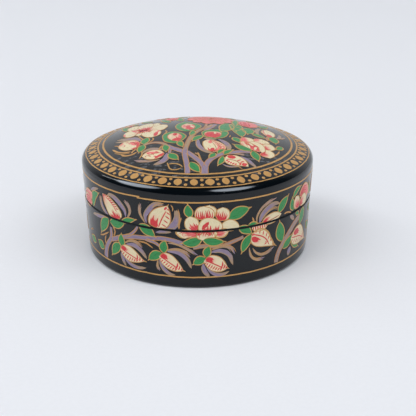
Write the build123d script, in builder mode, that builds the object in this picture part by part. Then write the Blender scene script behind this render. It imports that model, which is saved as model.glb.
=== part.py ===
"""Round papier-mache box with a domed lift-off lid.

The box is made of layered paper: a base ring closed by a floor disc, a thin
collar glued inside the base, and a lid of a short ring capped by a moulded dome.
Millimetres, +Z up. The origin is the middle of the underside, on the table.
"""

import os
from math import asin, cos, degrees, radians, sin, tan

from build123d import *

os.makedirs("parts", exist_ok=True)

# ---------------------------------------------------------------- outside form
rim_radius = 37.5  # outside radius of both rims, where the lid meets the base
base_height = 19.3  # table to the parting line
lid_wall_height = 10.8  # parting line to the start of the lid's shoulder
crown_rise = 9.6  # start of the shoulder to the top of the dome
wall_lean = 2.2  # degrees that the wall leans outwards, going up
shoulder_round = 2.8  # round between the lid's wall and the dome
foot_round = 1.2  # round of the bottom edge
lip_bevel = 0.3  # broken outer edge of each rim, which makes the parting line's groove

# ---------------------------------------------------------------- paper shells
rim_thickness = 3.0  # base wall at its rim
floor_thickness = 2.4  # floor disc
floor_ledge = 0.7  # how far the floor disc runs in under the wall
collar_thickness = 1.5  # collar glued inside the base
collar_rise = 5.0  # how far the collar stands above the base's rim
collar_lead = 0.6  # slope that guides the lid on to the collar
collar_ease = 0.4  # broken inner edge at the collar's mouth
lid_clearance = 0.3  # gap all round between the collar and the lid's bore
bore_ease = 0.5  # broken inner edge at the lid's mouth
crown_thickness = 2.6  # moulded shell of the dome
tongue_thickness = 1.3  # tongue on the lid's wall that the dome's rim fits over
tongue_height = 1.0  # height of that tongue above the start of the shoulder

# ------------------------------------------------------------- derived heights
shoulder_height = base_height + lid_wall_height
crown_height = shoulder_height + crown_rise
tongue_top = shoulder_height + tongue_height

# --------------------------------------------------------------- derived radii
base_bore = rim_radius - rim_thickness
floor_radius = base_bore + floor_ledge
lid_bore = base_bore + lid_clearance
tongue_radius = lid_bore + tongue_thickness


def wall_radius(height):
    """Outside radius of the leaning wall at a height above the table."""
    return rim_radius + (height - base_height) * tan(radians(wall_lean))


# The shoulder's arc leaves the wall without a corner, and the dome's arc leaves
# the shoulder's the same way: the dome's radius follows from touching it inside.
shoulder_radius = wall_radius(shoulder_height)
shoulder_centre = (
    shoulder_radius - shoulder_round * cos(radians(wall_lean)),
    shoulder_height + shoulder_round * sin(radians(wall_lean)),
)
apex_above_centre = crown_height - shoulder_centre[1]
dome_radius = (shoulder_centre[0] ** 2 + apex_above_centre**2 - shoulder_round**2) / (
    2 * (apex_above_centre - shoulder_round)
)
dome_centre_height = crown_height - dome_radius
dome_edge_slope = degrees(asin(shoulder_centre[0] / (dome_radius - shoulder_round)))
dome_edge_radius = dome_radius * sin(radians(dome_edge_slope))
level_axis = (90, 0, 0)  # a ball laid on its side, so that the dome's middle is no pole


def ring_edges(part, height, radius):
    """The circular edge of a turned part nearest to a height and a radius."""
    circles = part.edges().filter_by(GeomType.CIRCLE)
    return circles.sort_by(
        lambda edge: abs(edge.arc_center.Z - height) + abs(edge.radius - radius)
    )[0]


# -------------------------------------------------------------------- the base
with BuildPart() as base_wall:
    with BuildSketch(Plane.XZ):
        with BuildLine():
            Polyline(
                (floor_radius, 0),
                (wall_radius(0), 0),
                (rim_radius, base_height),
                (base_bore, base_height),
                (base_bore, floor_thickness),
                (floor_radius, floor_thickness),
                close=True,
            )
        make_face()
    revolve(axis=Axis.Z)
    fillet(ring_edges(base_wall.part, 0, wall_radius(0)), foot_round)
    chamfer(ring_edges(base_wall.part, base_height, rim_radius), lip_bevel)

with BuildPart() as base_floor:
    with BuildSketch(Plane.XY):
        Circle(floor_radius)
    extrude(amount=floor_thickness)

# The collar stands on the floor inside the base's bore and rises above the rim.
with BuildPart() as inner_collar:
    collar_top = base_height + collar_rise
    with BuildSketch(Plane.XY.offset(floor_thickness)):
        Circle(base_bore)
        Circle(base_bore - collar_thickness, mode=Mode.SUBTRACT)
    extrude(amount=collar_top - floor_thickness)
    chamfer(ring_edges(inner_collar.part, collar_top, base_bore), collar_lead)
    chamfer(
        ring_edges(inner_collar.part, collar_top, base_bore - collar_thickness),
        collar_ease,
    )

# --------------------------------------------------------------------- the lid
with BuildPart() as lid_wall:
    with BuildSketch(Plane.XZ):
        with BuildLine():
            Polyline(
                (lid_bore, base_height),
                (rim_radius, base_height),
                (shoulder_radius, shoulder_height),
                (tongue_radius, shoulder_height),
                (tongue_radius, tongue_top),
                (lid_bore, tongue_top),
                close=True,
            )
        make_face()
    revolve(axis=Axis.Z)
    chamfer(ring_edges(lid_wall.part, base_height, rim_radius), lip_bevel)
    chamfer(ring_edges(lid_wall.part, base_height, lid_bore), bore_ease)

# The space under the dome: inside the shell's ball, and as wide as the lid's bore.
with BuildPart() as dome_hollow:
    with Locations((0, 0, dome_centre_height)):
        Sphere(dome_radius - crown_thickness, rotation=level_axis)
    with Locations((0, 0, base_height)):
        Cylinder(
            lid_bore,
            lid_wall_height + crown_rise,
            align=(Align.CENTER, Align.CENTER, Align.MIN),
            mode=Mode.INTERSECT,
        )

# The dome is the cap of a large ball with the shoulder turned round its edge. It is
# hollowed, and its rim is rabbeted to drop over the wall's tongue.
with BuildPart() as lid_dome:
    with Locations((0, 0, dome_centre_height)):
        Sphere(dome_radius, rotation=level_axis)
    with Locations((0, 0, shoulder_height)):
        Cylinder(
            dome_edge_radius,
            crown_rise,
            align=(Align.CENTER, Align.CENTER, Align.MIN),
            mode=Mode.INTERSECT,
        )
    with BuildSketch(Plane.XZ):
        with BuildLine():
            shoulder = CenterArc(
                shoulder_centre,
                shoulder_round,
                start_angle=-wall_lean,
                arc_size=90 - dome_edge_slope + wall_lean,
            )
            Polyline(shoulder @ 1, (dome_edge_radius, shoulder_height), shoulder @ 0)
        make_face()
    revolve(axis=Axis.Z)
    add(dome_hollow.part, mode=Mode.SUBTRACT)
    with BuildSketch(Plane.XY.offset(shoulder_height)):
        Circle(tongue_radius)
    extrude(amount=tongue_height, mode=Mode.SUBTRACT)

# --------------------------------------------------------------------- written
base_wall.part.label = "base_wall"
base_floor.part.label = "base_floor"
inner_collar.part.label = "inner_collar"
lid_wall.part.label = "lid_wall"
lid_dome.part.label = "lid_dome"

for piece in (base_wall, base_floor, inner_collar, lid_wall, lid_dome):
    export_step(piece.part, f"parts/{piece.part.label}.step")
    volume = piece.part.volume / 1000
    print(f"{piece.part.label}: {volume:.2f} cm3, {len(piece.part.solids())} solid")

print(f"dome radius {dome_radius:.1f}, slope at its edge {dome_edge_slope:.1f} degrees")
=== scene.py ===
"""The painted look of a round papier-mache box with a domed lift-off lid.

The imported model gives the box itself. This script lays the painting on it, touch by touch, as thin
raised enamel: stems, leaves, petals, red brush marks and gold lines, and the border of the lid. It
then gives every surface its finish and sets the box on a pale floor in soft light.

Sizes in this file are millimetres. Place.put() turns them into the scene's metres.
"""

import logging
import math
import random
from bisect import bisect_right
from collections.abc import Callable, Sequence
from dataclasses import dataclass, field
from enum import Enum, IntEnum

import bmesh
import bpy
from mathutils import Matrix, Vector, noise


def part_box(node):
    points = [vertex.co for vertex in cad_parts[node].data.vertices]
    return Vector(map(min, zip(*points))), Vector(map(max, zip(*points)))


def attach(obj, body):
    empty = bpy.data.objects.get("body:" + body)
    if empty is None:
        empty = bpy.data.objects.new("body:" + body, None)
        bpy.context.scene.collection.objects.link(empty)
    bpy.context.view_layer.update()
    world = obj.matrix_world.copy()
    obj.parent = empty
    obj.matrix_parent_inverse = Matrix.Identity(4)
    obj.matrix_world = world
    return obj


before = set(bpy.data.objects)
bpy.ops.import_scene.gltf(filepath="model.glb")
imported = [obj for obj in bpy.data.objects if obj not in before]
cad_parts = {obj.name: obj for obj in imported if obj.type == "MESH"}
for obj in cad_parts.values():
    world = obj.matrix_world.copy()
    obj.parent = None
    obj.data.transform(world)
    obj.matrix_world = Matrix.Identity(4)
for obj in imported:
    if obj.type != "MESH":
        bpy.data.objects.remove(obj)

MM = 0.001
Point = tuple[float, float]
Tint = Callable[[float, float], float]
log = logging.getLogger("papier_mache_box")
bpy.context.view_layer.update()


# ------------------------------------------------------------------ the box's outside form
@dataclass(frozen=True)
class BoxForm:
    """The outside form that the paint lies on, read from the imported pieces.

    Attributes:
        wall_lean: Degrees that the wall leans outwards, going up.
        shoulder_round: Radius of the round between the lid's wall and its dome.
        lip_bevel: Broken edge of each rim, which the paint stops at.
    """

    wall_lean: float = 2.2
    shoulder_round: float = 2.8
    lip_bevel: float = 0.3

    @property
    def parting_height(self) -> float:
        """Height of the parting line above the table."""
        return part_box("base_wall")[1].z / MM

    @property
    def shoulder_height(self) -> float:
        """Height at which the lid's shoulder starts."""
        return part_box("lid_dome")[0].z / MM

    @property
    def crown_height(self) -> float:
        """Height of the dome's top."""
        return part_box("lid_dome")[1].z / MM

    @property
    def shoulder_radius(self) -> float:
        """Outside radius of the wall where the shoulder starts."""
        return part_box("lid_wall")[1].x / MM


class Place:
    """A surface of the box that paint is laid on, with its own flat coordinates."""

    def __init__(self, form: BoxForm) -> None:
        """Works out the wall's and the dome's arcs.

        Args:
            form: The outside form of the box.
        """
        lean = math.radians(form.wall_lean)
        self.lean = lean
        self.round = form.shoulder_round
        self.parting = form.parting_height
        self.rim_radius = form.shoulder_radius - (form.shoulder_height - self.parting) * math.tan(lean)
        self.round_centre = (
            form.shoulder_radius - self.round * math.cos(lean),
            form.shoulder_height + self.round * math.sin(lean),
        )
        rise = form.crown_height - self.round_centre[1]
        self.dome_radius = (self.round_centre[0] ** 2 + rise**2 - self.round**2) / (2 * (rise - self.round))
        self.dome_centre = form.crown_height - self.dome_radius

    def at(self, u: float, v: float) -> tuple[Vector, Vector]:
        """The point of the surface at flat coordinates, and its outward normal.

        Args:
            u: First flat coordinate.
            v: Second flat coordinate.

        Returns:
            The point and the normal, both in millimetres.
        """
        raise NotImplementedError

    def put(self, flat: Vector) -> Vector:
        """Where a flat vertex goes on the box.

        Args:
            flat: Flat coordinates, with the height above the surface as z.

        Returns:
            The point in the scene, in metres.
        """
        point, normal = self.at(flat.x, flat.y)
        return (point + normal * flat.z) * MM


class WallPlace(Place):
    """The wall, unrolled: u runs round to the right from the front at the rim, v is the height."""

    def at(self, u: float, v: float) -> tuple[Vector, Vector]:
        """The point of the wall at flat coordinates, and its outward normal.

        Args:
            u: Distance round, measured at the rim.
            v: Height above the table.

        Returns:
            The point and the normal.
        """
        turn = u / self.rim_radius
        outward = Vector((math.sin(turn), -math.cos(turn), 0.0))
        point = outward * (self.rim_radius + (v - self.parting) * math.tan(self.lean))
        point.z = v
        normal = outward * math.cos(self.lean)
        normal.z = -math.sin(self.lean)
        return point, normal


class CrownPlace(Place):
    """The lid's top, in plan: u is x and v is y, with -y at the front."""

    def at(self, u: float, v: float) -> tuple[Vector, Vector]:
        """The point of the lid's top at flat coordinates, and its outward normal.

        Args:
            u: Distance to the right of the middle.
            v: Distance behind the middle.

        Returns:
            The point and the normal.
        """
        radius = math.hypot(u, v)
        touching = self.dome_radius * self.round_centre[0] / (self.dome_radius - self.round)
        if radius <= touching:
            centre = Vector((0.0, 0.0, self.dome_centre))
            height = self.dome_centre + math.sqrt(self.dome_radius**2 - radius**2)
        else:
            reach = self.round_centre[0] / radius
            centre = Vector((u * reach, v * reach, self.round_centre[1]))
            height = self.round_centre[1] + math.sqrt(self.round**2 - (radius - self.round_centre[0]) ** 2)
        point = Vector((u, v, height))
        return point, (point - centre).normalized()


# ------------------------------------------------------------------ lines and shapes in the flat
class Line:
    """A smooth line through a few points, measured along its length."""

    def __init__(self, points: Sequence[Point | Vector], smooth: bool = True) -> None:
        """Samples the line.

        Args:
            points: The points that it passes through.
            smooth: Rounds the line between its points. Otherwise it runs straight.
        """
        knots = [Vector((p[0], p[1])) for p in points]
        if smooth and len(knots) > 2:
            knots = self._rounded(knots)
        self.knots = knots
        self.marks = [0.0]
        for a, b in zip(knots, knots[1:]):
            self.marks.append(self.marks[-1] + (b - a).length)
        self.length = self.marks[-1]

    @staticmethod
    def _rounded(knots: list[Vector]) -> list[Vector]:
        """Samples a Catmull-Rom curve through the knots.

        Args:
            knots: The points that it passes through.

        Returns:
            Points of the curve, with the knots among them.
        """
        cuts = 7
        ends = [knots[0] * 2 - knots[1], *knots, knots[-1] * 2 - knots[-2]]
        samples = []
        for a, b, c, d in zip(ends, ends[1:], ends[2:], ends[3:]):
            for cut in range(cuts):
                t = cut / cuts
                pull = (c - a) * t + (a * 2 - b * 5 + c * 4 - d) * t**2 + (b * 3 - a - c * 3 + d) * t**3
                samples.append(b + pull * 0.5)
        return [*samples, knots[-1]]

    def at(self, share: float) -> Vector:
        """The point at a share of the length.

        Args:
            share: From 0 at the start to 1 at the end.

        Returns:
            The point.
        """
        mark = min(max(share, 0.0), 1.0) * self.length
        i = min(max(bisect_right(self.marks, mark) - 1, 0), len(self.knots) - 2)
        span = self.marks[i + 1] - self.marks[i]
        return self.knots[i].lerp(self.knots[i + 1], (mark - self.marks[i]) / span if span else 0.0)

    def side(self, share: float) -> Vector:
        """The direction to the left of the line at a share of the length.

        Args:
            share: From 0 at the start to 1 at the end.

        Returns:
            A unit vector, or none where the line has no direction.
        """
        step = 0.02
        along = self.at(share + step) - self.at(share - step)
        return Vector((-along.y, along.x)).normalized() if along.length else Vector((0.0, 0.0))


class Taper(Enum):
    """How a touch of the brush widens and narrows along its length."""

    EVEN = "the same all along, with blunt ends"
    LINE = "even, with pointed ends"
    LEAF = "pointed at both ends, widest just before the middle"
    SEPAL = "long and full, pointed at both ends"
    DAB = "an oval"
    FLAME = "full at its start, drawn out to a point"

    def width(self, t: float) -> float:
        """How wide the touch is at a place along it.

        Args:
            t: Share of the length, from 0 at the start to 1 at the end.

        Returns:
            The share of the full width.
        """
        if self is Taper.EVEN:
            return 1.0
        if self is Taper.LINE:
            return min(1.0, (t / 0.1) ** 0.6, ((1 - t) / 0.16) ** 0.8)
        if self is Taper.LEAF:
            return math.sin(math.pi * t**0.86) ** 0.88
        if self is Taper.SEPAL:
            return math.sin(math.pi * t) ** 0.58
        if self is Taper.DAB:
            return math.sqrt(max(0.0, 1 - (2 * t - 1) ** 2))
        return min(1.0, (t / 0.12) ** 0.5) * (1 - t) ** 0.7


@dataclass
class Patch:
    """A painted shape in the flat: two edges that run from its base to its tip.

    Attributes:
        left: The edge on the left, going from base to tip.
        right: The edge on the right.
    """

    left: Line
    right: Line

    @classmethod
    def along(cls, centre: Line, width: float, taper: Taper, end: float = 1.0) -> "Patch":
        """The shape of a touch along a centre line.

        Args:
            centre: The middle of the touch.
            width: Its full width.
            taper: How the width changes.
            end: Share of the width that is left at the tip.

        Returns:
            The shape.
        """
        longest_piece, fewest = 0.55, 6
        count = max(fewest, math.ceil(centre.length / longest_piece))
        sides: tuple[list[Vector], list[Vector]] = ([], [])
        for i in range(count + 1):
            t = i / count
            half = centre.side(t) * (width / 2 * taper.width(t) * (1 + (end - 1) * t))
            sides[0].append(centre.at(t) + half)
            sides[1].append(centre.at(t) - half)
        return cls(Line(sides[0], smooth=False), Line(sides[1], smooth=False))

    @classmethod
    def between(cls, base: Point, tip: Point, left: Sequence[Point], right: Sequence[Point]) -> "Patch":
        """The shape between two outlines that share their base and their tip."""
        return cls(Line([base, *left, tip]), Line([base, *right, tip]))

    def at(self, across: float, along: float) -> Vector:
        """A point of the shape: across from 0 at the left edge to 1 at the right, along from 0 to 1."""
        return self.left.at(along).lerp(self.right.at(along), across)

    @property
    def length(self) -> float:
        """Mean length of the two edges."""
        return (self.left.length + self.right.length) / 2

    @property
    def width(self) -> float:
        """Width at the fullest of a few places."""
        return max((self.left.at(t) - self.right.at(t)).length for t in (0.2, 0.4, 0.6, 0.8))


class Paint(Enum):
    """The paints, by the end of the name of the piece that each one makes."""

    MAUVE = "stems"
    LEAF = "leaves"
    PETAL = "petals"
    RED = "red_marks"
    LINE = "fine_lines"


class Layer(IntEnum):
    """The order in which the paints are laid over each other, from the lacquer up."""

    STEM = 0
    SEPAL = 3
    LEAF = 6
    PETAL = 8
    MIDDLE_PETAL = 11
    FRONT_PETAL = 14


@dataclass(frozen=True)
class Touch:
    """One touch of the brush.

    Attributes:
        paint: Which paint it is.
        shape: Its shape in the flat.
        layer: How many coats lie under it.
        tint: The share of the paint's second colour over the shape, from across and along.
    """

    paint: Paint
    shape: Patch
    layer: int
    tint: Tint


def plain(amount: float = 0.0) -> Tint:
    """The same tint all over a touch."""
    return lambda across, along: amount


def down_the_middle(across: float, along: float) -> float:
    """A tint along the middle of a leaf, fading to its edges and its tip."""
    return 0.55 * max(0.0, 1 - abs(2 * across - 1) * 1.5) * (1 - 0.5 * along)


def from_the_base(reach: float, strength: float = 1.0) -> Tint:
    """A tint that is full at the base of a petal and fades out along it."""
    return lambda across, along: strength * max(0.0, 1 - along / reach) ** 1.2


def to_the_tip(start: float, base: float = 0.0, strength: float = 1.0) -> Tint:
    """A tint that comes in along a touch and is full at its tip."""
    return lambda across, along: base + (strength - base) * max(0.0, (along - start) / (1 - start)) ** 0.8


def about(across_at: float, along_at: float, size: float, strength: float = 1.0, base: float = 0.0) -> Tint:
    """A round blush on a petal about one place, over an even one."""
    return lambda across, along: base + strength * math.exp(
        -((across - across_at) ** 2 + (along - along_at) ** 2) / (2 * size**2)
    )


# ------------------------------------------------------------------ the painter's vocabulary
@dataclass
class Spray:
    """A painted ornament in the flat: the touches of the brush, and the motifs made of them.

    Attributes:
        seed: Start of the hand's small irregularities.
        outline: Width of the gold lines round leaves.
        petal_outline: Width of the lines round petals and down the sides of stems.
        hair: Width of the lines in a tuft.
        flick: How far a leaf's outline runs on past its tip, as a share of the leaf's length.
        touches: The touches so far, in the order in which they are laid.
    """

    seed: int = 7
    outline: float = 0.29
    petal_outline: float = 0.24
    hair: float = 0.26
    flick: float = 0.1
    touches: list[Touch] = field(default_factory=list)

    def __post_init__(self) -> None:
        """Starts the hand's irregularities."""
        self.hand = random.Random(self.seed)

    def lay(self, paint: Paint, shape: Patch, layer: int, tint: Tint = plain()) -> Patch:
        """Adds one touch.

        Args:
            paint: Which paint it is.
            shape: Its shape in the flat.
            layer: Its place in the order of coats.
            tint: The share of the paint's second colour over it.

        Returns:
            The shape, for the marks that go on it.
        """
        self.touches.append(Touch(paint, shape, layer, tint))
        return shape

    def stroke(
        self,
        paint: Paint,
        points: Sequence[Point | Vector],
        width: float,
        layer: int,
        taper: Taper = Taper.LINE,
        tint: Tint = plain(),
        end: float = 1.0,
    ) -> Patch:
        """Draws one stroke along a line.

        Args:
            paint: Which paint it is.
            points: Points of its centre line.
            width: Full width.
            layer: Its place in the order of coats.
            taper: How it widens and narrows.
            tint: The share of the paint's second colour over it.
            end: Share of the width that is left at the end.

        Returns:
            The stroke's shape.
        """
        width *= self.hand.uniform(0.94, 1.06)
        return self.lay(paint, Patch.along(Line(points), width, taper, end), layer, tint)

    def line(self, points: Sequence[Point | Vector], width: float, brown: float,
             layer: int = Layer.SEPAL + 1) -> None:
        """Draws a fine line, gold or brown."""
        self.stroke(Paint.LINE, points, width, layer, tint=plain(brown))

    def edge(self, shape: Patch, layer: int, brown: float, left: bool = True, right: bool = True,
             width: float = 0.0) -> None:
        """Draws the outlines of a shape.

        Args:
            shape: The shape.
            layer: Its place in the order of coats.
            brown: 0 for a gold line, up to 1 for a brown one.
            left: Whether its left edge is drawn.
            right: Whether its right edge is drawn.
            width: Width of the line. 0 takes the leaves' own.
        """
        steps = 9
        for side, drawn in ((shape.left, left), (shape.right, right)):
            if drawn:
                points = [side.at(i / steps) for i in range(steps + 1)]
                self.line(points, width or self.outline, brown, layer)

    # -- stems, leaves and sepals
    def stem(self, points: Sequence[Point], width: float, end: float, brown: float = 0.0) -> None:
        """Paints a stem or a branch with a gold line down each side.

        Args:
            points: Points of its centre line, from the root.
            width: Width at the root.
            end: Share of the width that is left at the far end.
            brown: How much of the paint's brown it takes.
        """
        shape = self.stroke(Paint.MAUVE, points, width, Layer.STEM, Taper.EVEN, plain(brown), end)
        self.edge(shape, Layer.STEM + 1, 0.4 + brown / 4, width=self.petal_outline)

    def leaf(self, base: Point, tip: Point, width: float, bend: float = 0.08,
             layer: int = Layer.LEAF) -> None:
        """Paints a leaf: green, darker down the middle, outlined in gold that flicks past its tip.

        Args:
            base: Where it springs from.
            tip: Where its green ends.
            width: Full width.
            bend: Sideways bow of its middle, as a share of its length, to the left of base to tip.
            layer: Its place in the order of coats.
        """
        start, stop = Vector(base), Vector(tip)
        reach = stop - start
        bow = Vector((-reach.y, reach.x)) * bend
        centre = [start, start + reach * 0.5 + bow, stop]
        shape = self.stroke(Paint.LEAF, centre, width, layer, Taper.LEAF, down_the_middle)
        self.edge(shape, layer + 1, 0.15)
        past = stop + reach * self.flick - bow * self.flick
        self.line([stop - reach * 0.12 + bow * 0.2, stop, past], self.outline * 1.2, 0.1, layer + 1)

    def sepal(self, points: Sequence[Point], width: float, brown: float = 0.0) -> None:
        """Paints a long sepal: mauve, tan towards its tip, with a tan line down its inner side.

        Args:
            points: Points of its centre line, from its base.
            width: Full width.
            brown: How much of the paint's tan it takes at its base.
        """
        shape = self.stroke(Paint.MAUVE, points, width, Layer.SEPAL, Taper.SEPAL,
                            to_the_tip(0.45, brown, 0.85))
        side = shape.left if self.hand.random() < 0.5 else shape.right
        lining = [side.at(0.1 + 0.1 * i) for i in range(10)]
        self.stroke(Paint.MAUVE, lining, 0.28, Layer.SEPAL + 1, tint=plain(0.95))

    def hairs(self, points: Sequence[Point], spread: float, count: int, under: float = 0.8) -> None:
        """Draws a tuft of fine tan lines that leave one root and spread, over a thin mauve stroke.

        Args:
            points: Points of the tuft's middle line, from its root.
            spread: How far apart the outer lines end.
            count: How many lines there are.
            under: Width of the mauve stroke below them, as a share of the spread.
        """
        middle = Line(points)
        over = Layer.SEPAL + 1
        self.stroke(Paint.MAUVE, points, spread * under, Layer.SEPAL, Taper.SEPAL, plain(0.35))
        for i in range(count):
            aside = (i / (count - 1) - 0.5) * spread
            stop = self.hand.uniform(0.84, 1.0)
            path = [middle.at(t * stop) + middle.side(t) * (aside * t**0.7)
                    for t in (0, 0.25, 0.5, 0.75, 1)]
            if i % 2:
                self.line(path, self.hair * 0.8, 0.35, over)
            else:
                self.stroke(Paint.MAUVE, path, self.hair, over, tint=plain(1.0))

    # -- red marks
    def flames(self, shape: Patch, across: Point, along: Point, count: int, width: float = 0.55,
               tint: float = 0.0, layer: int = Layer.PETAL + 1) -> None:
        """Draws a row of red flames that run up a petal from its base.

        Args:
            shape: The petal.
            across: First and last place across the petal.
            along: Where the flames start and about where they end, along the petal.
            count: How many there are.
            width: Full width of each one.
            tint: 0 for red, up to 1 for pink.
            layer: Its place in the order of coats.
        """
        for i in range(count):
            u = across[0] + (across[1] - across[0]) * (i + 0.5) / count
            tip = along[1] + (along[1] - along[0]) * self.hand.uniform(-0.22, 0.16)
            lean = self.hand.uniform(-0.03, 0.03)
            path = [shape.at(u, along[0]), shape.at(u + lean, (along[0] + tip) / 2),
                    shape.at(u + lean, tip)]
            self.stroke(Paint.RED, path, width, layer, Taper.FLAME, plain(tint))

    def dashes(self, shape: Patch, across: Point, along: Point, count: int, width: float = 0.42,
               slant: float = 0.05, layer: int = Layer.PETAL + 1) -> None:
        """Draws short red dashes across a petal, one above the other.

        Args:
            shape: The petal.
            across: Where each dash starts and ends across the petal.
            along: First and last place along the petal.
            count: How many there are.
            width: Full width of each one.
            slant: How far each dash climbs along the petal.
            layer: Its place in the order of coats.
        """
        for i in range(count):
            v = along[0] + (along[1] - along[0]) * (i + 0.5) / count
            inset = self.hand.uniform(0.0, 0.16) * (across[1] - across[0])
            path = [shape.at(across[0] + inset, v), shape.at(across[1], v + slant)]
            self.stroke(Paint.RED, path, width, layer, Taper.SEPAL, plain(self.hand.uniform(0.0, 0.3)))

    def dab(self, paint: Paint, middle: Point | Vector, length: float, width: float, angle: float,
            layer: int, tint: Tint = plain()) -> Patch:
        """Sets down one oval dab of the brush.

        Args:
            paint: Which paint it is.
            middle: Its centre.
            length: Its size along its angle.
            width: Its size across its angle.
            angle: Degrees from the flat's first axis to its length.
            layer: Its place in the order of coats.
            tint: The share of the paint's second colour over it.

        Returns:
            The dab's shape.
        """
        half = Vector((math.cos(math.radians(angle)), math.sin(math.radians(angle)))) * (length / 2)
        centre = Vector(middle)
        return self.stroke(paint, [centre - half, centre + half], width, layer, Taper.DAB, tint)

    def mark(self, middle: Point | Vector, length: float, width: float, angle: float, pink: float,
             layer: int = Layer.PETAL + 1) -> None:
        """Sets down one red dab on a petal.

        Args:
            middle: Its centre.
            length: Its size along its angle.
            width: Its size across its angle.
            angle: Degrees from the flat's first axis to its length.
            pink: How pale the red is.
            layer: Its place in the order of coats.
        """
        self.dab(Paint.RED, middle, length, width, angle, layer, plain(pink))

    # -- flowers
    def petal(self, base: Point, tip: Point, left: Sequence[Point], right: Sequence[Point],
              tint: Tint = plain(), brown: float = 0.35, layer: int = Layer.PETAL) -> Patch:
        """Paints a petal between two outlines, with a gold line round it.

        Args:
            base: Where it springs from.
            tip: Its far end.
            left: Points of its left edge, going from base to tip.
            right: Points of its right edge.
            tint: The blush over it.
            brown: How brown its outline is.
            layer: Its place in the order of coats.

        Returns:
            The petal's shape.
        """
        shape = self.lay(Paint.PETAL, Patch.between(base, tip, left, right), layer, tint)
        self.edge(shape, layer + 2, brown, width=self.petal_outline)
        return shape

    def bud(self, base: Point, tip: Point, heart_side: Sequence[Point], dash_side: Sequence[Point],
            dashes: int = 6, heart: Point = (0.3, 0.24), heart_size: float = 1.0, lean: float = 0.56,
            arcs: int = 3, flaming: bool = False, curl: float = 0.0) -> Patch:
        """Paints a bud: a cream body with a red heart, a fold, a row of red dashes and arcs by its point.

        Args:
            base: Where it springs from.
            tip: Its point.
            heart_side: Points of the edge on the heart's side, from base to tip.
            dash_side: Points of the edge on the dashes' side.
            dashes: How many dashes there are.
            heart: Place of the heart's middle, across and along the bud.
            heart_size: Size of the heart against the usual one.
            lean: Place of the fold across the bud.
            arcs: How many arcs there are by the point.
            flaming: Whether the heart is a row of flames. Otherwise it is a round blot.
            curl: How far the fold's end curls round the heart.

        Returns:
            The bud's shape.
        """
        on_petal = Layer.PETAL + 1
        across, along = heart
        blush = about(across, along, 0.2, 0.4, 0.1)
        shape = self.petal(base, tip, heart_side, dash_side, blush, 0.4)
        fold = [shape.at(lean - 0.16, 0.03), shape.at(lean - 0.02, 0.26), shape.at(lean, 0.52),
                shape.at(lean + 0.08 - curl, 0.8)]
        self.stroke(Paint.RED, fold, 0.38, on_petal, Taper.LINE, plain(0.15))
        self.dashes(shape, (0.98, lean + 0.07), (0.08, 0.74 if arcs else 0.9), dashes, 0.4)
        size = min(shape.width * 0.36, shape.length * 0.26) * heart_size
        if flaming:
            reach = 0.2 * heart_size
            low = along - reach
            self.flames(shape, (across - 0.18, across + 0.2), (low, along + reach), 4, size * 0.5)
            self.flames(shape, (across - 0.08, across + 0.14), (low, along + reach * 0.6), 3, size * 0.6)
        else:
            run = shape.at(across, along + 0.1) - shape.at(across, along - 0.1)
            turn = math.degrees(math.atan2(run.y, run.x))
            self.dab(Paint.RED, shape.at(*heart), size * 1.6, size * 1.05, turn, on_petal, plain(0.12))
            self.flames(shape, (across - 0.04, across + 0.16), (along, along + 0.16), 2, size * 0.5)
        for i in range(arcs):
            v = 0.68 + 0.2 * i / max(1, arcs - 1)
            path = [shape.at(0.1 + 0.08 * i, v), shape.at(0.4, v + 0.05), shape.at(0.8, v + 0.01)]
            width = 0.5 * self.hand.uniform(0.85, 1.15)
            self.stroke(Paint.RED, path, width, on_petal, Taper.SEPAL, plain(0.05))
        end = shape.at(0.5, 1.0)
        point = end + (end - shape.at(0.5, 0.9)) * 0.8
        self.line([shape.at(0.5, 0.93), end, point], 0.3, 0.3, on_petal + 1)
        return shape

    def turned_half(self, shift: float) -> None:
        """Repeats every touch further round the wall.

        Args:
            shift: How far round the copy is moved.
        """
        step = Vector((shift, 0.0))

        def moved(line: Line) -> Line:
            """The line, further round."""
            return Line([knot + step for knot in line.knots], smooth=False)

        for touch in list(self.touches):
            shape = Patch(moved(touch.shape.left), moved(touch.shape.right))
            self.touches.append(Touch(touch.paint, shape, touch.layer, touch.tint))


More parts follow.
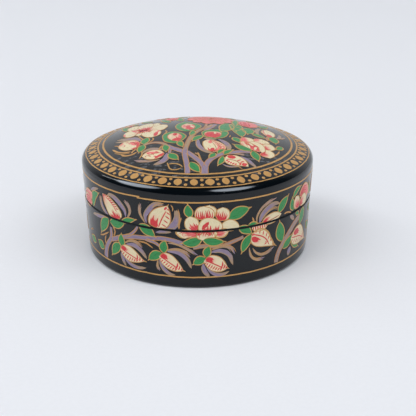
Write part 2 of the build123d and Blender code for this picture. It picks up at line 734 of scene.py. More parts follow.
# ------------------------------------------------------------------ the ornament on the wall
@dataclass
class WallOrnament:
    """The running spray of buds and roses round the wall. It crosses the parting line.

    Places are millimetres round from the front, to the right, and millimetres above the table.

    Attributes:
        spray: Its touches.
    """

    spray: Spray = field(default_factory=lambda: Spray(seed=11))

    def draw(self, half_turn: float) -> Spray:
        """Draws the front half and repeats it at the back.

        Args:
            half_turn: Half the distance round the wall at its rim.

        Returns:
            The spray with all its touches.
        """
        self.stems()
        self.far_left()
        self.left_bud()
        self.upright_bud()
        self.hanging_buds()
        self.rose()
        self.right_bud()
        self.far_right()
        self.side()
        self.spray.turned_half(half_turn)
        return self.spray

    def stems(self) -> None:
        """The two rooted stems and their branches."""
        s = self.spray
        s.stem([(-33.4, 4.4), (-32.7, 7.6), (-31.3, 10.1), (-29.7, 12.1), (-29.5, 14.1), (-29.4, 15.9)], 1.9,
               0.5)
        s.stem([(-30.4, 11.4), (-28.3, 12.2), (-26.4, 13.3), (-23.4, 14.3), (-20.4, 15.1), (-16.3, 15.6),
                (-10.2, 16.3), (-6.2, 15.8), (-4.1, 15.1)], 1.4, 0.9)
        s.stem([(-15.8, 15.2), (-12.7, 14.6), (-11, 13.5)], 0.9, 0.8)
        s.stem([(-24.2, 14.3), (-21.2, 15.7), (-19, 17.8), (-18.3, 19.2)], 0.85, 0.7)
        s.stem([(-1, 13.8), (2.2, 14.5), (4.6, 14.2), (7.9, 14.3), (11.1, 15.2), (14.4, 16.3)], 1.2, 0.9,
               brown=0.6)
        s.stem([(27.3, 4.4), (27.9, 7.1), (29.3, 9.3), (30.9, 11.1), (33.2, 13.1), (35.9, 15.2),
                (38.9, 16.4)], 1.8, 1.2, brown=0.55)
        s.hairs([(-8.8, 15), (-6.2, 14.9), (-4.1, 14.1), (-1.7, 12.8), (0.6, 11.3)], 0.9, 3)
        s.hairs([(0.8, 13.8), (4.6, 14.3), (8.2, 14.2), (11.4, 15.3)], 0.8, 3)
        s.sepal([(-30.7, 18.7), (-34, 18), (-40.1, 17.1)], 1.2)
        s.sepal([(-12.4, 18.1), (-10.2, 18.6), (-7.4, 18.7)], 0.9)
        s.sepal([(32.8, 18.7), (34.2, 17.8), (35.4, 16.6)], 1.2, brown=0.5)
        for twig in (
            [(-36, 11.2), (-33.9, 11.9), (-30.7, 13.9)], [(-33, 9.1), (-33, 10.7), (-32.3, 12.3)],
            [(-18.5, 14.1), (-15.7, 14), (-13.3, 12.6)], [(-28.4, 16.7), (-27.5, 15), (-28.4, 13.1)],
            [(-5.1, 19.8), (-5, 21.7), (-4.3, 23.7)], [(17.7, 20.4), (17.6, 21.2), (17.2, 22.3)],
            [(29.6, 20.3), (31.3, 20.4), (33.4, 19.7)], [(-44.1, 9.9), (-42.9, 10.7), (-41.5, 10.9)],
        ):
            s.line(twig, 0.5, 0.4)

    def far_left(self) -> None:
        """The pink flower on the left, and the leaves below it."""
        s = self.spray
        s.leaf((-39.3, 19.8), (-34.7, 25.6), 2.8, 0.22)
        s.sepal([(-40.6, 24.9), (-38.1, 26.1), (-34.7, 27.2)], 0.9, brown=0.4)
        s.leaf((-33.9, 7.4), (-37.7, 8.8), 3.4, 0.05)
        s.leaf((-39.6, 7.4), (-43.7, 8.3), 2.8, 0.05)
        back = s.petal((-46.2, 20.2), (-39.4, 24.4), [(-46.4, 22.6), (-43.5, 24.6)],
                       [(-42.2, 21), (-39.8, 22.4)], about(0.6, 0.5, 0.4, 0.7, 0.2))
        s.flames(back, (0.1, 0.9), (0.1, 0.6), 5, 0.8, 0.3)
        front = s.petal((-47.3, 19.7), (-40, 20.8), [(-46.2, 22.1), (-42.7, 23)],
                        [(-44.7, 18.7), (-41.6, 18.9)], about(0.5, 0.7, 0.35, 0.7, 0.15),
                        layer=Layer.MIDDLE_PETAL)
        s.flames(front, (0.1, 0.9), (0.2, 0.8), 4, 0.8, 0.2, Layer.MIDDLE_PETAL + 1)

    def left_bud(self) -> None:
        """The bud that leans up to the left, cut by the parting line."""
        s = self.spray
        s.leaf((-30.3, 18.6), (-35, 12.5), 3.6, -0.06)
        s.leaf((-24.6, 19.1), (-18.9, 21.1), 1.8, 0.02)
        s.leaf((-29.7, 17.8), (-23.1, 19.1), 3.4, -0.06)
        s.sepal([(-22.6, 21.1), (-22.9, 23.2), (-24.9, 25.3), (-26.9, 26.5), (-29.1, 26.8), (-30.1, 26)],
                1.6)
        s.hairs([(-22, 21.1), (-20.8, 23.2), (-21.3, 25.2), (-22.7, 26.8)], 1.2, 3)
        s.sepal([(-30.3, 19.8), (-32.5, 21.2), (-33.5, 23), (-33.4, 25.2)], 1.2)
        s.hairs([(-31.6, 20.4), (-33.6, 22.4), (-34.2, 25.4)], 0.6, 2)
        body = s.petal((-26.7, 19.3), (-32.4, 26.3), [(-29.6, 20.1), (-30.8, 21.8), (-31.9, 23.8)],
                       [(-24.2, 20.6), (-24.6, 22.6), (-26.6, 24.6), (-29.4, 26.1)],
                       about(0.15, 0.95, 0.3, 0.5, 0.12), 0.4)
        s.flames(body, (0.08, 0.9), (0.02, 0.4), 7, 0.9)
        s.flames(body, (0.16, 0.9), (0, 0.24), 5, 1.1)
        s.flames(body, (0.06, 0.96), (0.97, 0.82), 4, 0.4, 0.5)
        s.dashes(body, (0.97, 0.76), (0.36, 0.94), 9, 0.4)
        s.stroke(Paint.RED, [body.at(0.72, 0.34), body.at(0.74, 0.6), body.at(0.6, 0.86)], 0.34,
                 Layer.PETAL + 2, Taper.LINE, plain(0.2))

    def upright_bud(self) -> None:
        """The bud that stands above the parting line, left of the rose."""
        s = self.spray
        s.leaf((-17.8, 19.8), (-12.5, 16.6), 3.2, 0.03)
        s.sepal([(-15.2, 20.6), (-15.5, 23), (-14.1, 25.3), (-12.2, 27.2), (-9.6, 27.7)], 1.4)
        s.hairs([(-13.2, 25.9), (-11.6, 27.1), (-9.2, 27.4)], 0.7, 2, under=0.2)
        s.hairs([(-15.6, 20.6), (-17.2, 23.2), (-17.3, 25.4), (-16.7, 26.9)], 0.9, 3)
        s.sepal([(-11, 19.9), (-8, 20), (-6.1, 21.6), (-5.5, 23.8), (-5.6, 26)], 2.2)
        s.sepal([(-9.6, 19.9), (-6.6, 20.9), (-5.8, 23.4), (-6.2, 25.9)], 1.6)
        s.line([(-6.9, 25.4), (-6.8, 26.5), (-7.4, 27.6)], 0.3, 0.4)
        s.line([(-5.2, 21.9), (-4.8, 24.2), (-5.3, 26.4)], 0.28, 0.4)
        body = s.bud((-11.4, 19.7), (-8.3, 27.2),
                     [(-13.9, 20.3), (-14.5, 22.1), (-13.6, 24.5), (-11.6, 26.2)],
                     [(-9, 19.9), (-7.7, 21.8), (-7.5, 24.3)], 6, (0.26, 0.3), 0.9, 0.6, 0, True)
        s.edge(body, Layer.PETAL + 3, 0.5, width=0.3)
        s.mark(body.at(0.5, 0.86), 1.5, 0.7, 55, 0.3)

    def hanging_buds(self) -> None:
        """The three buds that hang below the branch, from left to right."""
        s = self.spray
        s.leaf((-24.4, 10.5), (-24.8, 15), 2.7)
        s.leaf((-25.4, 11.5), (-29.7, 6.5), 3, -0.05)
        s.hairs([(-24, 12), (-21.4, 13.6), (-18.8, 13.5), (-17, 12)], 1.1, 4)
        s.sepal([(-23.2, 11.9), (-20.2, 12.4), (-17.6, 11.2), (-15.6, 8.6)], 1.4)
        s.sepal([(-25.5, 8.7), (-24.6, 6), (-23.7, 4.3)], 1.1)
        s.sepal([(-25.1, 8.4), (-22.2, 5.7), (-18.8, 4.9), (-16, 5.5)], 1.1)
        s.bud((-25.6, 9.9), (-16.4, 7.7), [(-24.6, 11.3), (-22.9, 11.7), (-20.4, 11), (-18.3, 9.2)],
              [(-25, 8.2), (-22.4, 6.5), (-19.3, 6.7)], 8, (0.32, 0.2), 0.85)
        s.leaf((-9.9, 11.5), (-9.4, 15.8), 2.6)
        s.leaf((-10.7, 11.6), (-15, 8.5), 3.1, -0.04)
        s.hairs([(-9.6, 12.4), (-6.4, 13.1), (-3.6, 12.4), (-1.8, 10.6)], 1.2, 4)
        s.sepal([(-9, 12.2), (-5.6, 12.1), (-3.1, 10.2), (-1.5, 6.9)], 1.35)
        s.sepal([(-11.4, 9.6), (-10.5, 6.8), (-8.6, 4.9), (-6.4, 4.4)], 1.15)
        s.hairs([(-11.8, 9.2), (-12.2, 7), (-11.5, 5.3)], 0.8, 3)
        s.bud((-11.5, 10.3), (-3.9, 6.1), [(-9.8, 11.7), (-7.4, 11), (-5.5, 8.9)],
              [(-10.9, 8.3), (-8.7, 6.4), (-6.1, 5.7)], 8, (0.32, 0.22), 0.9)
        s.leaf((3.1, 10.6), (3.9, 14.4), 2.5)
        s.leaf((2.9, 10.4), (-1, 8.3), 3, -0.06)
        s.hairs([(4.2, 12.9), (7.6, 14.1), (10.3, 13.4), (11.8, 11)], 1.3, 4)
        s.sepal([(4, 12.2), (7.3, 12.6), (10.1, 10.9), (11.3, 7.3)], 1.4)
        s.sepal([(2, 8.6), (2.4, 6.3), (4, 3.9)], 1.4)
        s.sepal([(3, 7.4), (5.2, 5), (8, 4.5), (10.2, 5.4)], 1.15)
        s.bud((2.2, 9.5), (9.7, 6.5), [(4.2, 11.3), (6.8, 10.7), (8.6, 8.8)],
              [(3, 7.6), (4.9, 6), (7.3, 5.6)], 8, (0.34, 0.26), 0.9)

    def rose(self) -> None:
        """The open rose at the front, across the parting line."""
        s = self.spray
        s.leaf((-1.5, 23.7), (-2.4, 27.9), 2.5)
        s.leaf((9.4, 22.9), (16.2, 25.5), 3.9, 0.05)
        s.leaf((1.7, 16.9), (-4.4, 15.3), 3, 0.08)
        s.leaf((1.7, 16.7), (8.5, 15.5), 2.9, -0.06)
        fifth = s.petal((6.6, 22.7), (7.7, 26.7), [(5.7, 23.9), (5.9, 25.9)],
                        [(8.9, 22.5), (9.9, 23.9), (9.4, 25.9)], from_the_base(0.35, 0.6))
        s.flames(fifth, (0.04, 0.94), (0.02, 0.6), 7, 0.72)
        s.flames(fifth, (0.1, 0.9), (0, 0.3), 4, 0.8)
        behind = s.petal((3.6, 23.3), (3.8, 27.6), [(1.4, 25.6), (2, 27.1)], [(5.7, 24.5), (5.7, 26.5)],
                         from_the_base(0.5, 0.4))
        s.flames(behind, (0.5, 0.95), (0.4, 0.62), 2, 0.5)
        top = s.petal((2.4, 23.1), (2.1, 27.3), [(0, 23.5), (-0.4, 25.3), (0.5, 26.9)],
                      [(4.9, 23.5), (5.3, 25.3), (4, 26.8)], from_the_base(0.4, 0.7),
                      layer=Layer.MIDDLE_PETAL)
        s.flames(top, (0.02, 0.98), (0, 0.62), 9, 0.72, layer=Layer.MIDDLE_PETAL + 1)
        s.flames(top, (0.06, 0.94), (0, 0.34), 6, 0.8, layer=Layer.MIDDLE_PETAL + 1)
        left = s.petal((0.4, 19.9), (-1.8, 24.1), [(-1.9, 19.4), (-3.3, 20.8), (-3.1, 23.1)],
                       [(0.9, 21.2), (0.3, 23.3)], about(0.4, 0.2, 0.2, 1))
        s.flames(left, (0.12, 0.84), (0.02, 0.5), 5, 0.8, 0.35)
        right = s.petal((7.5, 19.7), (13, 19.9), [(7.6, 21.5), (9.9, 22.6), (12.1, 21.6)],
                        [(9.1, 18.9), (11.5, 19.1)], from_the_base(0.25, 0.6))
        s.flames(right, (0.1, 0.6), (0.02, 0.2), 4, 0.55, 0.2)
        centre = s.petal((3.9, 19.1), (3.7, 23.6), [(0.8, 19.5), (0.8, 21.6), (2, 23.3)],
                         [(7.5, 19.6), (7.3, 21.8), (5.4, 23.3)], about(0.3, 0.2, 0.2, 0.8),
                         layer=Layer.FRONT_PETAL)
        s.flames(centre, (0.1, 0.56), (0, 0.5), 5, 0.9, layer=Layer.FRONT_PETAL + 1)
        for middle, length, width, turn in (((2.9, 21.3), 2.6, 1.2, 52), ((2.2, 20.7), 2.2, 1, 66)):
            s.mark(middle, length, width, turn, 0.1, Layer.FRONT_PETAL + 1)
        s.flames(centre, (0.6, 0.96), (0.02, 0.5), 5, 0.7, layer=Layer.FRONT_PETAL + 1)
        low_left = s.petal((0.8, 19.1), (-3.4, 16.9), [(-3.1, 19.6), (-6.1, 19), (-5, 17.4)],
                           [(-0.1, 17.5), (-1.8, 17.3)], about(0.5, 0.3, 0.3, 0.7))
        s.flames(low_left, (0.05, 0.95), (0.06, 0.7), 6, 0.7, 0.05)
        s.flames(low_left, (0.2, 0.9), (0.2, 0.9), 3, 0.5, 0.95, Layer.PETAL + 2)
        s.edge(low_left, Layer.PETAL + 3, 0.1, right=False, width=0.42)
        low_right = s.petal((5.4, 19.1), (9.7, 18.8), [(7.5, 19.8), (9.1, 19.7)], [(5.8, 17.2), (8.4, 17.2)],
                            about(0.5, 0.35, 0.3, 0.7))
        s.flames(low_right, (0.1, 0.9), (0.06, 0.7), 5, 0.62, 0.05)
        s.flames(low_right, (0.2, 0.9), (0.2, 0.85), 3, 0.45, 0.95, Layer.PETAL + 2)
        s.edge(low_right, Layer.PETAL + 3, 0.1, left=False, width=0.42)
        low = s.petal((2.8, 19.4), (1.9, 16.3), [(0.3, 19.1), (0.2, 17.2)],
                      [(6, 19.1), (5.6, 17.3), (3.2, 17.1)], about(0.4, 0.3, 0.3, 0.6),
                      layer=Layer.MIDDLE_PETAL)
        s.flames(low, (0.06, 0.94), (0.02, 0.7), 5, 0.6, 0.05, Layer.MIDDLE_PETAL + 1)
        for tip in ((0.7, 17.8), (3.9, 17.6)):
            s.petal((2.4, 19.2), tip, [(tip[0] - 0.9, 18.6)], [(tip[0] + 0.9, 18.6)], plain(0.75), 0.6,
                    layer=Layer.FRONT_PETAL - 1)
            s.mark((tip[0], 18.7), 1.6, 0.7, 100, 0.1, Layer.FRONT_PETAL)

    def right_bud(self) -> None:
        """The large bud to the right of the rose, below the parting line, and the petal above it."""
        s = self.spray
        s.leaf((12.7, 19.7), (17.2, 17), 2.6, 0.04)
        s.leaf((15.8, 19.9), (19.4, 19.7), 1.5, 0.05)
        s.leaf((17, 16.8), (14, 11), 2.9, -0.04)
        s.hairs([(18.8, 19.6), (18.9, 22.6), (20.8, 24.9), (23.4, 26.2), (26, 26.7)], 1, 3)
        s.sepal([(19.7, 19.6), (20.5, 22.1), (22.9, 24.1), (25.3, 24.9), (27.5, 24.4)], 1.7)
        s.hairs([(20.2, 20.2), (22.4, 22.8), (25.4, 23.6), (27.9, 22.4)], 0.8, 3, under=0.3)
        s.hairs([(16.5, 12.4), (17.2, 9.3), (19.4, 7.7), (22.5, 7.8)], 1, 4)
        s.hairs([(17.6, 12), (19, 10), (22.1, 8.9), (26.1, 10.4)], 1.1, 4)
        high = s.petal((20.5, 19.3), (28.3, 20.8), [(21.5, 21.1), (24.1, 22.1), (26.5, 21.9)],
                       [(23.9, 18.6), (26.7, 19.4)], about(0.3, 0.25, 0.16, 0.8))
        s.flames(high, (0.2, 0.7), (0.06, 0.4), 4, 0.6)
        s.line([high.at(0.75, 0.05), high.at(0.62, 0.4), high.at(0.6, 0.9)], 0.3, 0.8, Layer.PETAL + 2)
        collar = s.petal((17.1, 18.6), (22.7, 18.5), [(18.2, 19.7), (21.2, 19.7)],
                         [(18.2, 17.4), (21.2, 17.3)], about(0.5, 0.5, 0.3, 0.4))
        s.dashes(collar, (0.1, 0.9), (0.06, 0.95), 7, 0.42)
        body = s.bud((17.3, 16.6), (26.4, 10.7), [(16.9, 14.3), (18.2, 12.7), (20.4, 11.8), (23.5, 11.3)],
                     [(18.5, 17.6), (20.6, 17.8), (23, 16.3), (24.3, 13.9)], 7, (0.3, 0.27), 0.86, 0.6, 0,
                     curl=0.58)
        s.edge(body, Layer.PETAL + 3, 0.3, left=False, width=0.5)
        s.dab(Paint.LINE, body.at(0.55, 0.93), 2, 0.8, -34, Layer.PETAL + 2, plain(0.4))
        s.stroke(Paint.RED, [body.at(0.16, 0.6), body.at(0.34, 0.66), body.at(0.44, 0.58)], 0.4,
                 Layer.PETAL + 1)
        s.mark(body.at(0.5, 0.1), 1.2, 0.6, 30, 0)

    def far_right(self) -> None:
        """The hanging bud and the pink flower on the right."""
        s = self.spray
        s.leaf((26.9, 21.4), (31.1, 26.1), 2.9, 0.04)
        s.leaf((29.6, 11.1), (27.8, 18.4), 4, 0.05)
        s.leaf((30, 8.4), (34.9, 11.8), 2.7, -0.06)
        s.leaf((41.6, 18.9), (39.4, 13.4), 4, 0.04)
        s.leaf((34.5, 20), (33.4, 24.6), 2.6)
        s.leaf((33.7, 24.4), (38.4, 27), 2, 0.12)
        s.leaf((36, 18.6), (38.4, 17.4), 1.6)
        s.leaf((34.2, 9.8), (39.9, 5.7), 1.9, -0.06)
        s.sepal([(34.4, 7.7), (33.6, 6.3), (33.3, 4.8)], 1.8)
        s.bud((34.2, 10.5), (45.7, 6.3), [(36.8, 13.2), (40.4, 13.2), (43.1, 10.5)],
              [(35.4, 8.1), (39, 7), (41.9, 6.9)], 6, (0.3, 0.3), 0.9, 0.6)
        top = s.petal((38.4, 23.2), (46, 22.6), [(38, 24.9), (41, 27), (44.4, 25.7)],
                      [(40.9, 22.1), (43.8, 21.5)], about(0.5, 0.5, 0.4, 1))
        s.flames(top, (0.1, 0.9), (0.06, 0.66), 6, 0.9)
        left = s.petal((37.8, 20.2), (35.4, 24.4), [(35.3, 20.2), (34.4, 22.5)], [(38.1, 22.2), (37.3, 24)],
                       about(0.4, 0.3, 0.3, 0.9), layer=Layer.MIDDLE_PETAL)
        s.flames(left, (0.2, 0.8), (0.05, 0.5), 4, 0.7, layer=Layer.MIDDLE_PETAL + 1)
        right = s.petal((38.4, 20.2), (43.9, 21.8), [(38.6, 22.5), (41.4, 23.7)], [(40.9, 19.7), (43.4, 20)],
                        about(0.4, 0.15, 0.3, 0.9), layer=Layer.FRONT_PETAL)
        s.flames(right, (0.2, 0.8), (0.03, 0.4), 5, 0.7, layer=Layer.FRONT_PETAL + 1)

    def side(self) -> None:
        """The foliage at the two sides, where the halves of the spray meet."""
        s = self.spray
        s.stem([(52, 4.3), (52.6, 7.5), (54.2, 10.4), (56.8, 13), (60, 14.6), (64.5, 15.6), (69, 16.2)], 1.9,
               0.6)
        s.stem([(55.4, 11.8), (53.4, 14.2), (52.6, 17), (53, 19.2)], 1.1, 0.7)
        s.leaf((50.9, 9), (46.6, 11.6), 2.9)
        s.leaf((58, 13.6), (55.8, 18.4), 2.8, -0.05)
        s.leaf((63, 15.4), (66.4, 19), 2.6)
        s.leaf((54.2, 9.2), (59, 6.4), 2.7, 0.06)
        s.leaf((47.6, 16.6), (51.8, 14.4), 2.3, 0.06)
        s.sepal([(60.2, 14.2), (62.8, 13.5), (65.4, 11.2)], 1.5)
        s.sepal([(59.6, 9.6), (61.4, 7.4), (64.6, 6.2)], 1, brown=0.6)
        s.bud((59.2, 12.6), (67, 8), [(61.4, 13.2), (64.2, 12.2), (66.2, 10)],
              [(59.7, 10.3), (61.8, 8.4), (64.6, 7.6)], 6, (0.26, 0.3), 1.2)
        s.sepal([(51.2, 20.4), (50.2, 23), (51.4, 25.6), (53.6, 26.9)], 1.4)
        s.sepal([(55.4, 20.4), (57.4, 22.6), (57.7, 25.2)], 1.5)
        s.bud((53.1, 19.8), (55, 27), [(51.6, 21.2), (51.8, 23.8), (53.2, 26)],
              [(55, 20.6), (56.2, 22.8), (56.1, 25.2)], 5, (0.26, 0.34), 1.2)
        s.leaf((60.4, 20.4), (64, 25.4), 2.8, 0.06)
        s.sepal([(59.4, 20), (61.8, 20.6), (65.4, 20.2)], 1.1)
        s.leaf((48.6, 21.2), (46.2, 25.8), 2.4, 0.05)


# ------------------------------------------------------------------ the ornament on the crown
@dataclass
class CrownOrnament:
    """The spray on the lid's top, which grows from the front of the border.

    Places are x and y in plan, with the front at -y.

    Attributes:
        spray: Its touches.
    """

    spray: Spray = field(default_factory=lambda: Spray(seed=23, outline=0.36))

    def draw(self) -> Spray:
        """Draws the whole spray.

        Returns:
            The spray with all its touches.
        """
        self.stems()
        self.leaves()
        self.outer_bud()
        self.inner_bud()
        self.rosettes()
        self.middle_bud()
        self.front_bud()
        self.rose()
        self.cream_flower()
        self.pink_flower()
        self.back()
        return self.spray

    def stems(self) -> None:
        """The two rooted stems and their branches."""
        s = self.spray
        s.stem([(2.3, -27.6), (1.3, -25.2), (0, -23.1), (-1.6, -20.9), (-3.4, -18.6)], 1.5, 1)
        s.stem([(-2.6, -30.4), (-2.9, -26), (-3.6, -21), (-3.6, -18), (-3.4, -16)], 1.6, 1)
        s.stem([(-3.6, -17.6), (-2.9, -13), (-2.1, -9), (-0.9, -5.4), (0.9, -1.8), (3.2, 1), (5, 4.6)], 1.45,
               1, brown=0.75)
        s.stem([(2.6, -27.8), (3.2, -25.2), (4.6, -22.8), (6.4, -20.8), (8.6, -19.4), (11.4, -18.1),
                (14, -16.9), (16.6, -16.4)], 1.6, 1, brown=0.3)
        s.stem([(2.5, -30.5), (2.45, -28.6), (2.5, -27)], 2.2, 1)
        s.stem([(-3.8, -18.8), (-6, -17.3), (-8.2, -15.6), (-9.4, -14)], 2, 0.8)
        s.stem([(-9.4, -14), (-10.8, -12.2), (-12.8, -11), (-15, -10.8), (-16.8, -11.6)], 1.2, 1, brown=1)
        s.stem([(-8.3, -16.8), (-8.4, -19.2)], 0.9, 0.8)
        s.stem([(0.6, -3.6), (1.9, -0.6), (2.7, 2.4), (2.9, 5.8)], 0.7, 0.9, brown=1)
        s.stem([(2.4, -2.4), (4.2, 0.4), (5.2, 3), (5.9, 5.4)], 1.3, 0.9)
        s.stem([(22.7, -5.2), (22.5, -3), (23.1, -0.8)], 0.7, 0.9, brown=1)
        for twig in (
            [(1.5, -24.2), (0.8, -21.8), (0.3, -19.2)], [(0.6, -21), (-0.1, -20.2), (-0.6, -19.6)],
            [(24.2, -15.8), (25.3, -13.8), (26, -11.6)],
            [(-19.3, -2.4), (-18.2, -5), (-17.2, -7.6), (-17.4, -11)],
            [(-14.3, -6.4), (-13.9, -8.4), (-15.2, -10.4)],
            [(-17.2, -15.4), (-16.9, -17.4), (-17, -19), (-17.8, -20.3)],
            [(-11.2, -18.2), (-11.6, -15.8), (-10.7, -13.4)], [(-10.4, -0.8), (-9.9, -2.8), (-10.9, -5)],
            [(10.6, -5.8), (10.3, -7.6)],
        ):
            s.line(twig, 0.5, 0.35)
        for loop in (
            [(-8.9, -24.4), (-8.5, -26), (-7.9, -27.8), (-6.6, -28.5), (-5.3, -28.2), (-4.4, -27.7)],
            [(-8.6, -25.4), (-6.9, -25.3), (-5.5, -25.7), (-4.6, -26.6), (-4.1, -27.6)],
        ):
            s.line(loop, 0.42, 0.15)

    def leaves(self) -> None:
        """The leaves on the stems."""
        s = self.spray
        for base, tip, width, bend in (
            ((-16.8, -11), (-15.8, -5.8), 3, 0.04), ((-17, -11.4), (-18, -16.5), 2.7, 0.02),
            ((-10.1, -13.6), (-9.5, -18.1), 2.3, 0.04), ((-8.5, -19.4), (-5.6, -23.3), 2.7, -0.03),
            ((-5.6, -11.2), (-4.4, -15.7), 2.1, -0.04), ((-1.3, -2.6), (-2.2, -7.4), 2, 0.06),
            ((1.9, -7.3), (-1.5, -11.9), 2.6, -0.06), ((-1.8, -24.9), (1.1, -30), 2.7, -0.04),
            ((5.6, -19.4), (3.7, -22.6), 1.9, 0.05), ((8, -21.1), (6.4, -26.2), 1.9, 0.06),
            ((17.1, -15.6), (11.4, -12.8), 3.2, 0.04), ((17.4, -15.6), (18.9, -21.3), 2.8, -0.02),
            ((11.5, -7.1), (13.2, -10.9), 2.8, 0.04), ((27, -7.6), (24.9, -11.1), 2.2, 0.06),
            ((12.4, 9), (12.6, -1), 4.2, 0.02), ((11.2, 4.6), (14.3, -6.2), 4.2, 0.08),
            ((10, 8), (7.6, -3.6), 4.6, 0.06), ((16.9, 4.8), (16.4, -2.4), 4.2, 0),
            ((17.6, -1.2), (22, -3.6), 2.6, 0.05), ((24.7, -0.4), (25.2, -6.2), 3.4, -0.04),
            ((12.6, 5.4), (13.2, 17), 2.1, 0.03), ((-23.4, 5.8), (-26, 14), 3, -0.08),
            ((-9.8, 9.2), (-12.8, 16.2), 2.8, -0.06),
        ):
            s.leaf(base, tip, width, bend)
        for base, tip, width, bend in (
            ((6.4, -19.8), (8.7, -16.8), 1.6, 0.1), ((8.3, -20.2), (11.2, -16.8), 1.8, 0.1),
        ):
            s.leaf(base, tip, width, bend, layer=Layer.PETAL + 3)

    def outer_bud(self) -> None:
        """The bud at the far left of the front."""
        s = self.spray
        s.sepal([(-17.8, -8), (-20.2, -4.9), (-23, -3.6), (-26.2, -2.4)], 2.2, brown=0.25)
        s.sepal([(-18.6, -7), (-21.4, -5.6), (-24.4, -5.2), (-26.6, -4.4)], 1.4, brown=0.7)
        s.line([(-24.6, -9.4), (-25.6, -8), (-26.6, -7.2)], 0.5, 0.4)
        for tuft, width in (
            ([(-20.4, -14.9), (-23, -14.3), (-25.2, -12.7), (-26.9, -9.8)], 0.7),
            ([(-20.6, -15.6), (-23.6, -15), (-26, -13.2)], 0.34),
            ([(-18.6, -15.8), (-20.2, -17), (-22.4, -16.7), (-23.7, -15.2)], 0.75),
            ([(-18.8, -13.4), (-19.8, -14.6), (-20.4, -16)], 0.6),
        ):
            s.line(tuft, width, 0.3)
        body = s.petal((-19.3, -13.4), (-23.8, -6.2), [(-22, -13.3), (-24.2, -11.4), (-25, -8.6)],
                       [(-18.1, -11.4), (-18.4, -8.6), (-20.6, -6.1)], about(0.2, 0.9, 0.2, 0.8), 0.4)
        s.flames(body, (0.3, 0.9), (0.02, 0.22), 6, 0.8, 0.25)
        s.flames(body, (0.8, 1), (0.1, 0.6), 2, 0.8, 0.35)
        s.mark((-20.2, -9), 4.4, 1.5, 118, 1)
        for middle, length, width, turn in (
            ((-23, -9.5), 1.3, 0.5, 80), ((-21.6, -8.5), 1.3, 0.42, 120), ((-20.2, -8), 2.2, 0.42, 125),
            ((-19.2, -9.6), 1.4, 0.42, 110), ((-22.4, -7.2), 1.2, 0.36, 150),
        ):
            s.mark(middle, length, width, turn, 0.15, Layer.PETAL + 2)
        s.line([(-18.9, -11.6), (-19.6, -9.4), (-21, -7.4), (-22.8, -6.5)], 0.26, 0.8, Layer.PETAL + 2)

    def inner_bud(self) -> None:
        """The bud beside it, nearer the stem."""
        s = self.spray
        s.sepal([(-10.4, -17), (-12.6, -15.7), (-15.2, -15.6), (-17, -17.4)], 1.5, brown=0.55)
        s.hairs([(-11, -22.4), (-14, -22.7), (-16.8, -22), (-19.2, -20.7)], 1.2, 3)
        s.sepal([(-9.1, -19), (-9.3, -21.8), (-10.5, -23.7), (-12.9, -25.1)], 1.9)
        body = s.petal((-9.9, -19.2), (-16.8, -19.4), [(-11, -21.2), (-13, -21.9), (-15.4, -21.2)],
                       [(-11.4, -16.9), (-14, -16.4), (-16, -17.6)], from_the_base(0.5, 0.6), 0.4)
        s.flames(body, (0.1, 0.5), (0.02, 0.34), 4, 0.8, 0.2)
        s.mark((-11.5, -20.3), 4, 1.1, 46, 0.3)
        s.mark((-13.6, -18), 4.4, 1.2, 165, 1)
        for middle, length, width, turn in (
            ((-12.3, -17.7), 1.7, 0.42, 140), ((-13.5, -18.8), 1.6, 0.4, 125),
            ((-14.9, -18.4), 1.5, 0.36, 140), ((-14.4, -19.8), 1.2, 0.34, 130),
            ((-15.6, -19.9), 1.1, 0.3, 110), ((-12.6, -20.4), 1.6, 0.5, 150),
        ):
            s.mark(middle, length, width, turn, 0.2, Layer.PETAL + 2)
        s.line([(-10.8, -18.4), (-12.6, -18.4), (-14.6, -19.2), (-16, -19.4)], 0.26, 0.7, Layer.PETAL + 2)

    def rosettes(self) -> None:
        """The three half-opened rosettes in their green calyxes."""
        s = self.spray
        for calyx, core in (
            (((-8.2, -2.7), (-6.5, -13.1), [(-10.6, -4.8), (-11, -7.8), (-9.9, -11.4)],
              [(-5.2, -4.5), (-3.5, -7.6), (-4.5, -10.8)]),
             ((-7.8, -4.3), (-6.1, -11.7), [(-9.3, -6), (-9.3, -8.6), (-7.9, -10.8)],
              [(-6, -5.1), (-4.9, -7.6), (-5, -10)])),
            (((5.8, -1.2), (5, -9.8), [(2.2, -2.8), (1.5, -6), (2.8, -9)],
              [(9, -1.4), (10, -4.4), (8.3, -8.4)]),
             ((5.2, -3.3), (4.8, -9), [(2.9, -3.9), (2.2, -6.2), (3, -8.3)],
              [(7.4, -3.7), (7.7, -6), (6.8, -8.1)])),
            (((-4.4, 8.4), (-3.6, -3.6), [(-6.6, 5.6), (-7.2, 1.6), (-5.8, -2)],
              [(-1, 6), (1.2, 2), (-0.4, -1.8)]),
             ((-3.6, 5.8), (-2.6, -2.1), [(-5, 4), (-5.3, 1.6), (-4.3, -0.8)],
              [(-1.6, 4.4), (-0.8, 2), (-1.1, -0.6)])),
        ):
            outer = s.lay(Paint.LEAF, Patch.between(*calyx), Layer.LEAF, plain(0.15))
            s.edge(outer, Layer.LEAF + 1, 0.3, width=0.32)
            inner = s.lay(Paint.PETAL, Patch.between(*core), Layer.PETAL, plain(0.4))
            s.edge(inner, Layer.PETAL + 2, 0.5, width=0.26)
            s.flames(inner, (0.5, 1), (0.98, 0.5), 4, 0.9, 0.2)
